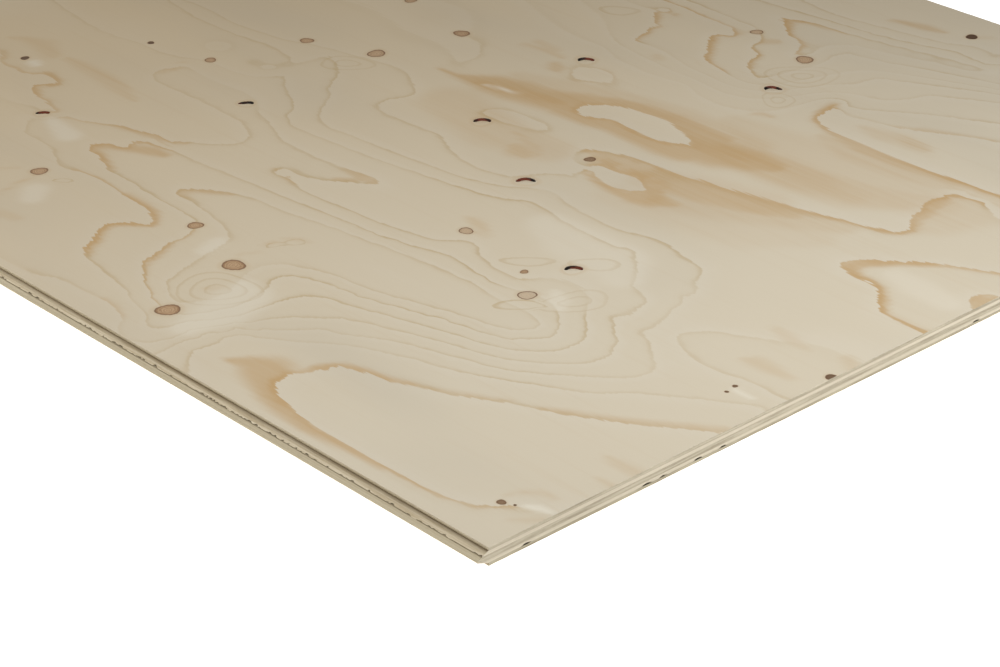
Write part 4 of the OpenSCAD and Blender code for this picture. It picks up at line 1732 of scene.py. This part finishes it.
@dataclass
class Crossband(Veneer):
    """A veneer whose fibres run across the sheet, torn by the cutter where its edge meets the core.

    Attributes:
        tear_low: True if the torn line is the lower one.
        tear_chance: Share of the tongue's length that is torn.
        tear_depth: How far a tear or a void goes in.
        voids: Gaps (place across from the middle, length) in the joint with the outer veneer.
        tear_onset: How sharply a tear starts.
        tear_lengths: Lengths over which the tearing comes and goes, slow and fast.
        slow_share: How much the slow one counts.
        lip: Least height of a tear, as a share of the thickness, and how much higher it can be.
        lip_length: Length of one tooth of its lip.
        void_height: Heights at which a void has ended and is at its deepest, as shares of the thickness.
    """

    along_step: float = 1.5
    across_step: float = 3.05
    rows: tuple[float, ...] = (0.0, 0.05, 0.11, 0.18, 0.28, 0.42, 0.65, 0.85, 1.0)
    tear_low: bool = True
    tear_chance: float = 0.9
    tear_depth: float = 3.0
    voids: tuple[Place, ...] = ()
    tear_onset: float = 0.08
    tear_lengths: Place = (60.0, 5.0)
    slow_share: float = 0.45
    lip: Place = (0.07, 0.27)
    lip_length: float = 2.6
    void_height: Place = (0.34, 0.12)

    def relief(self, points: Array) -> tuple[Array, dict[str, Array]]:
        """Adds the torn line on the tongue to what every veneer has.

        A tear goes in to its full depth at the joint line and rises to nothing at a height that wanders along
        the edge, so it is a slit under a ragged lip, with painted shade inside to darken it.

        Args:
            points: The welded points.

        Returns:
            The moved points, and a value for each point by name.
        """
        moved, values = super().relief(points)
        up = self.height_shares(points)
        up = up if self.tear_low else 1.0 - up
        x = points[:, 0]
        slow, fast = (wander(x, length, self.seed + i) for i, length in enumerate(self.tear_lengths))
        often = slow * self.slow_share + fast * (1.0 - self.slow_share)
        height = self.lip[0] + self.lip[1] * wander(x, self.lip_length, self.seed + 2) ** 3
        start = 1.0 - self.tear_chance
        _, tongue_edge, _ = self.edges(points)[1]
        torn = smoothstep(start, start + self.tear_onset, often) * tongue_edge
        torn = torn * smoothstep(1.0, 0.6, up / height)
        moved[:, 1] += torn * self.tear_depth
        # Painted shade, partly the cutter's burn: the tongue-side edge darkens towards the outer veneer, in
        # the corner under its edge
        values["burn"] = tongue_edge * up
        # Painted shade inside the tears and the voids
        values["torn"] = np.maximum(torn, self.open_joint(points, moved))
        return moved, values

    def height_shares(self, points: Array) -> Array:
        """Heights of points above the lower side, as shares of the thickness."""
        return (points[:, 2] - self.low[2]) / (self.high[2] - self.low[2])

    def open_joint(self, points: Array, moved: Array) -> Array:
        """Sinks the voids into both short ends, on the joint line away from the core.

        Args:
            points: The welded points.
            moved: The points as moved so far; those in a void go in further.

        Returns:
            How far each point is inside a void, from 0 to 1.
        """
        up = self.height_shares(points)
        up = 1.0 - up if self.tear_low else up
        _, far_end, near_end = self.edges(points)[0]
        depth = np.zeros(len(points))
        for end, sign, mirror in ((near_end, -1.0, 1.0), (far_end, 1.0, -1.0)):
            for across, length in self.voids:
                gap = np.abs(mirror * points[:, 1] - across) / (0.5 * length)
                sunk = end * smoothstep(1.0, 0.5, gap) * smoothstep(*self.void_height, up)
                moved[:, 0] += sign * sunk * self.tear_depth
                depth = np.maximum(depth, sunk)
        return depth


@dataclass(frozen=True)
class Panel:
    """A square light panel.

    Attributes:
        name: Its name.
        place: Where it stands, in metres.
        aim: Where it points, in metres.
        power: Its power in watts.
        size: Its side in metres.
    """

    name: str
    place: tuple[float, float, float]
    aim: tuple[float, float, float]
    power: float
    size: float = 0.9


@dataclass
class Studio:
    """Floor, soft lights and the camera.

    Attributes:
        eye: Place of the camera, in metres.
        azimuth: Angle of the view from the long edges, in degrees.
        dip: Angle by which the view looks down, in degrees.
        lens: Focal length in millimetres.
        film: Width of the film in millimetres.
        floor_reach: Half side of the floor, in metres.
        floor_gap: Distance of the floor below the sheet, in metres.
        floor_grey: How pale the floor is.
        floor_glow: How much it glows.
        sky: Strength of the light from the sky.
        panels: The light panels.
    """

    eye: tuple[float, float, float] = (2.6107, -1.8725, 1.1994)
    azimuth: float = 47.213
    dip: float = 27.661
    lens: float = 100.11
    film: float = 36.0
    floor_reach: float = 14.0
    floor_gap: float = 0.0004
    floor_grey: float = 0.93
    floor_glow: float = 0.90
    sky: float = 0.145
    panels: tuple[Panel, ...] = (
        Panel("key_panel", (1.6, 0.1, 1.25), (0.9, -0.1, 0.0), 16.5),
        Panel("fill_panel", (0.4, -1.6, 1.3), (0.3, -0.5, 0.0), 16.5),
        Panel("back_panel", (-1.8, 0.3, 1.2), (-1.9, 0.3, 0.0), 12.0),
    )

    def build(self, bottom: float) -> None:
        """Sets up the stage.

        Args:
            bottom: Height of the sheet's underside, in metres.
        """
        self.camera()
        self.floor(bottom)
        self.lights()
        bpy.context.scene.view_settings.view_transform = "Standard"

    def camera(self) -> None:
        """Makes the camera and looks through it."""
        data = bpy.data.cameras.new("camera")
        data.sensor_width = self.film
        data.lens = self.lens
        data.clip_end = 100.0
        eye = bpy.data.objects.new("camera", data)
        turn, dip = math.radians(self.azimuth), math.radians(self.dip)
        way = Vector((-math.sin(turn) * math.cos(dip), math.cos(turn) * math.cos(dip), -math.sin(dip)))
        eye.rotation_euler = way.to_track_quat("-Z", "Y").to_euler()
        eye.location = self.eye
        bpy.context.scene.collection.objects.link(eye)
        bpy.context.scene.camera = eye

    def floor(self, bottom: float) -> None:
        """Makes a wide pale floor just under the sheet.

        Args:
            bottom: Height of the sheet's underside, in metres.
        """
        signs = ((-1, -1), (1, -1), (1, 1), (-1, 1))
        corners = [(x * self.floor_reach, y * self.floor_reach, bottom - self.floor_gap) for x, y in signs]
        mesh = bpy.data.meshes.new("floor")
        mesh.from_pydata(corners, [], [(0, 1, 2, 3)])
        floor = bpy.data.objects.new("floor", mesh)
        shade = Shade("floor_pale", 0.8, 0.1)
        shade.shader.inputs["Base Color"].default_value = (*[self.floor_grey] * 3, 1.0)
        shade.shader.inputs["Emission Color"].default_value = (1.0, 1.0, 1.0, 1.0)
        shade.shader.inputs["Emission Strength"].default_value = self.floor_glow
        mesh.materials.append(shade.material)
        bpy.context.scene.collection.objects.link(floor)
        floor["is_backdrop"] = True

    def lights(self) -> None:
        """Makes soft light from the sky and from the panels."""
        world = bpy.data.worlds.new("studio")
        world.use_nodes = True
        sky = world.node_tree.nodes["Background"]
        sky.inputs["Color"].default_value = (1.0, 1.0, 1.0, 1.0)
        sky.inputs["Strength"].default_value = self.sky
        bpy.context.scene.world = world
        for panel in self.panels:
            data = bpy.data.lights.new(panel.name, "AREA")
            data.size = panel.size
            data.energy = panel.power
            lamp = bpy.data.objects.new(panel.name, data)
            lamp.location = panel.place
            lamp.visible_camera = False
            way = Vector(panel.aim) - Vector(panel.place)
            lamp.rotation_euler = way.to_track_quat("-Z", "Y").to_euler()
            bpy.context.scene.collection.objects.link(lamp)


def turned(along: float, across: float, length: float, width: float) -> Place:
    """Place on the far half of the sheet that has the figure of a place on the near half."""
    a, c = (np.array([along, across]) - TURN_SHIFT) / TURN_SCALE
    return length - float(a), width - float(c)


def turned_knots(knots: Sequence[Knot], length: float, width: float) -> tuple[Knot, ...]:
    """The knots of the far half: every one but each third, and none close to the middle of the sheet."""
    made = (Knot(*turned(k.along, k.across, length, width), k.size, k.kind, k.dark)
            for i, k in enumerate(knots) if i % 3)
    return tuple(k for k in made if k.along > BLEND_SHARES[1] * length)


def turned_flames(flames: Sequence[Flame], length: float, width: float) -> tuple[Flame, ...]:
    """The streaks of the far half, which are weaker."""
    moved = (tuple((*turned(a, c, length, width), half) for a, c, half in f.points) for f in flames)
    return tuple(Flame(f.tone * TURN_TONE, points) for f, points in zip(flames, moved))


def main() -> None:
    """Builds the veneers and the studio."""
    logging.basicConfig(level=logging.INFO, format="%(name)s: %(message)s")
    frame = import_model()
    low, high = (np.array(c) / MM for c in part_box("face_veneer"))
    length, width = high[0] - low[0], high[1] - low[1]
    rings = RingField(GROWTH_LINES, CLEAR_WOOD)
    knots = FACE_KNOTS + turned_knots(FACE_KNOTS, length, width)
    flames = FACE_FLAMES + turned_flames(FACE_FLAMES, length, width)
    patches = FACE_PATCHES + turned_flames(FACE_PATCHES, length, width)

    nose = srgb(190, 178, 151), srgb(164, 150, 122)
    side = srgb(206, 196, 175), srgb(182, 171, 149)
    end = srgb(187, 177, 155), srgb(148, 138, 117)
    lower_end = srgb(184, 176, 152), srgb(146, 137, 114)
    flank = srgb(210, 197, 170), srgb(180, 163, 132)
    face = FaceFinish("face_wood").material()
    back = FaceFinish("back_wood", pale=srgb(202, 190, 168), wood=srgb(196, 182, 156)).material()
    back_end = EdgeFinish("back_end_grain", Run.ACROSS, True, *lower_end).material()
    long_side = EdgeFinish("side_grain_along", Run.ALONG, False, *nose).material()
    long_end = EdgeFinish("end_grain_across", Run.ACROSS, True, *end).material()
    cross_side = EdgeFinish("side_grain_across", Run.ACROSS, False, *side).material()
    cross_end = EdgeFinish("end_grain_along", Run.ALONG, True, *flank).material()

    nose_rows = tuple(float(v) for v in 0.5 - 0.5 * np.cos(np.linspace(0.0, math.pi, 15)))
    figure = {
        "knots": knots,
        "flames": flames,
        "patches": patches,
        "whorls": FACE_WHORLS,
        "field_of_rings": rings,
    }
    cross = (cross_side, cross_end, cross_side)
    veneers = (
        (Figured("face_veneer", "face_veneer", up=True, bleached=FACE_BLEACHED, **figure),
         (face, long_side, long_end)),
        (Crossband("upper_crossband", "crossband", seed=11), cross),
        (Veneer("core_veneer", "core_veneer", rows=nose_rows), (long_side, long_side, long_end)),
        (Crossband("lower_crossband", "crossband", seed=23, tear_low=False, tear_chance=0.3, voids=END_VOIDS),
         cross),
        (Figured("back_veneer", "back_veneer", up=False, mirrored=True, **figure),
         (back, long_side, back_end)),
    )
    for veneer, finishes in veneers:
        veneer.build(frame["nodes"][veneer.node], finishes)
    Studio().build(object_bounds()[0].z)


if __name__ == "__main__":
    main()
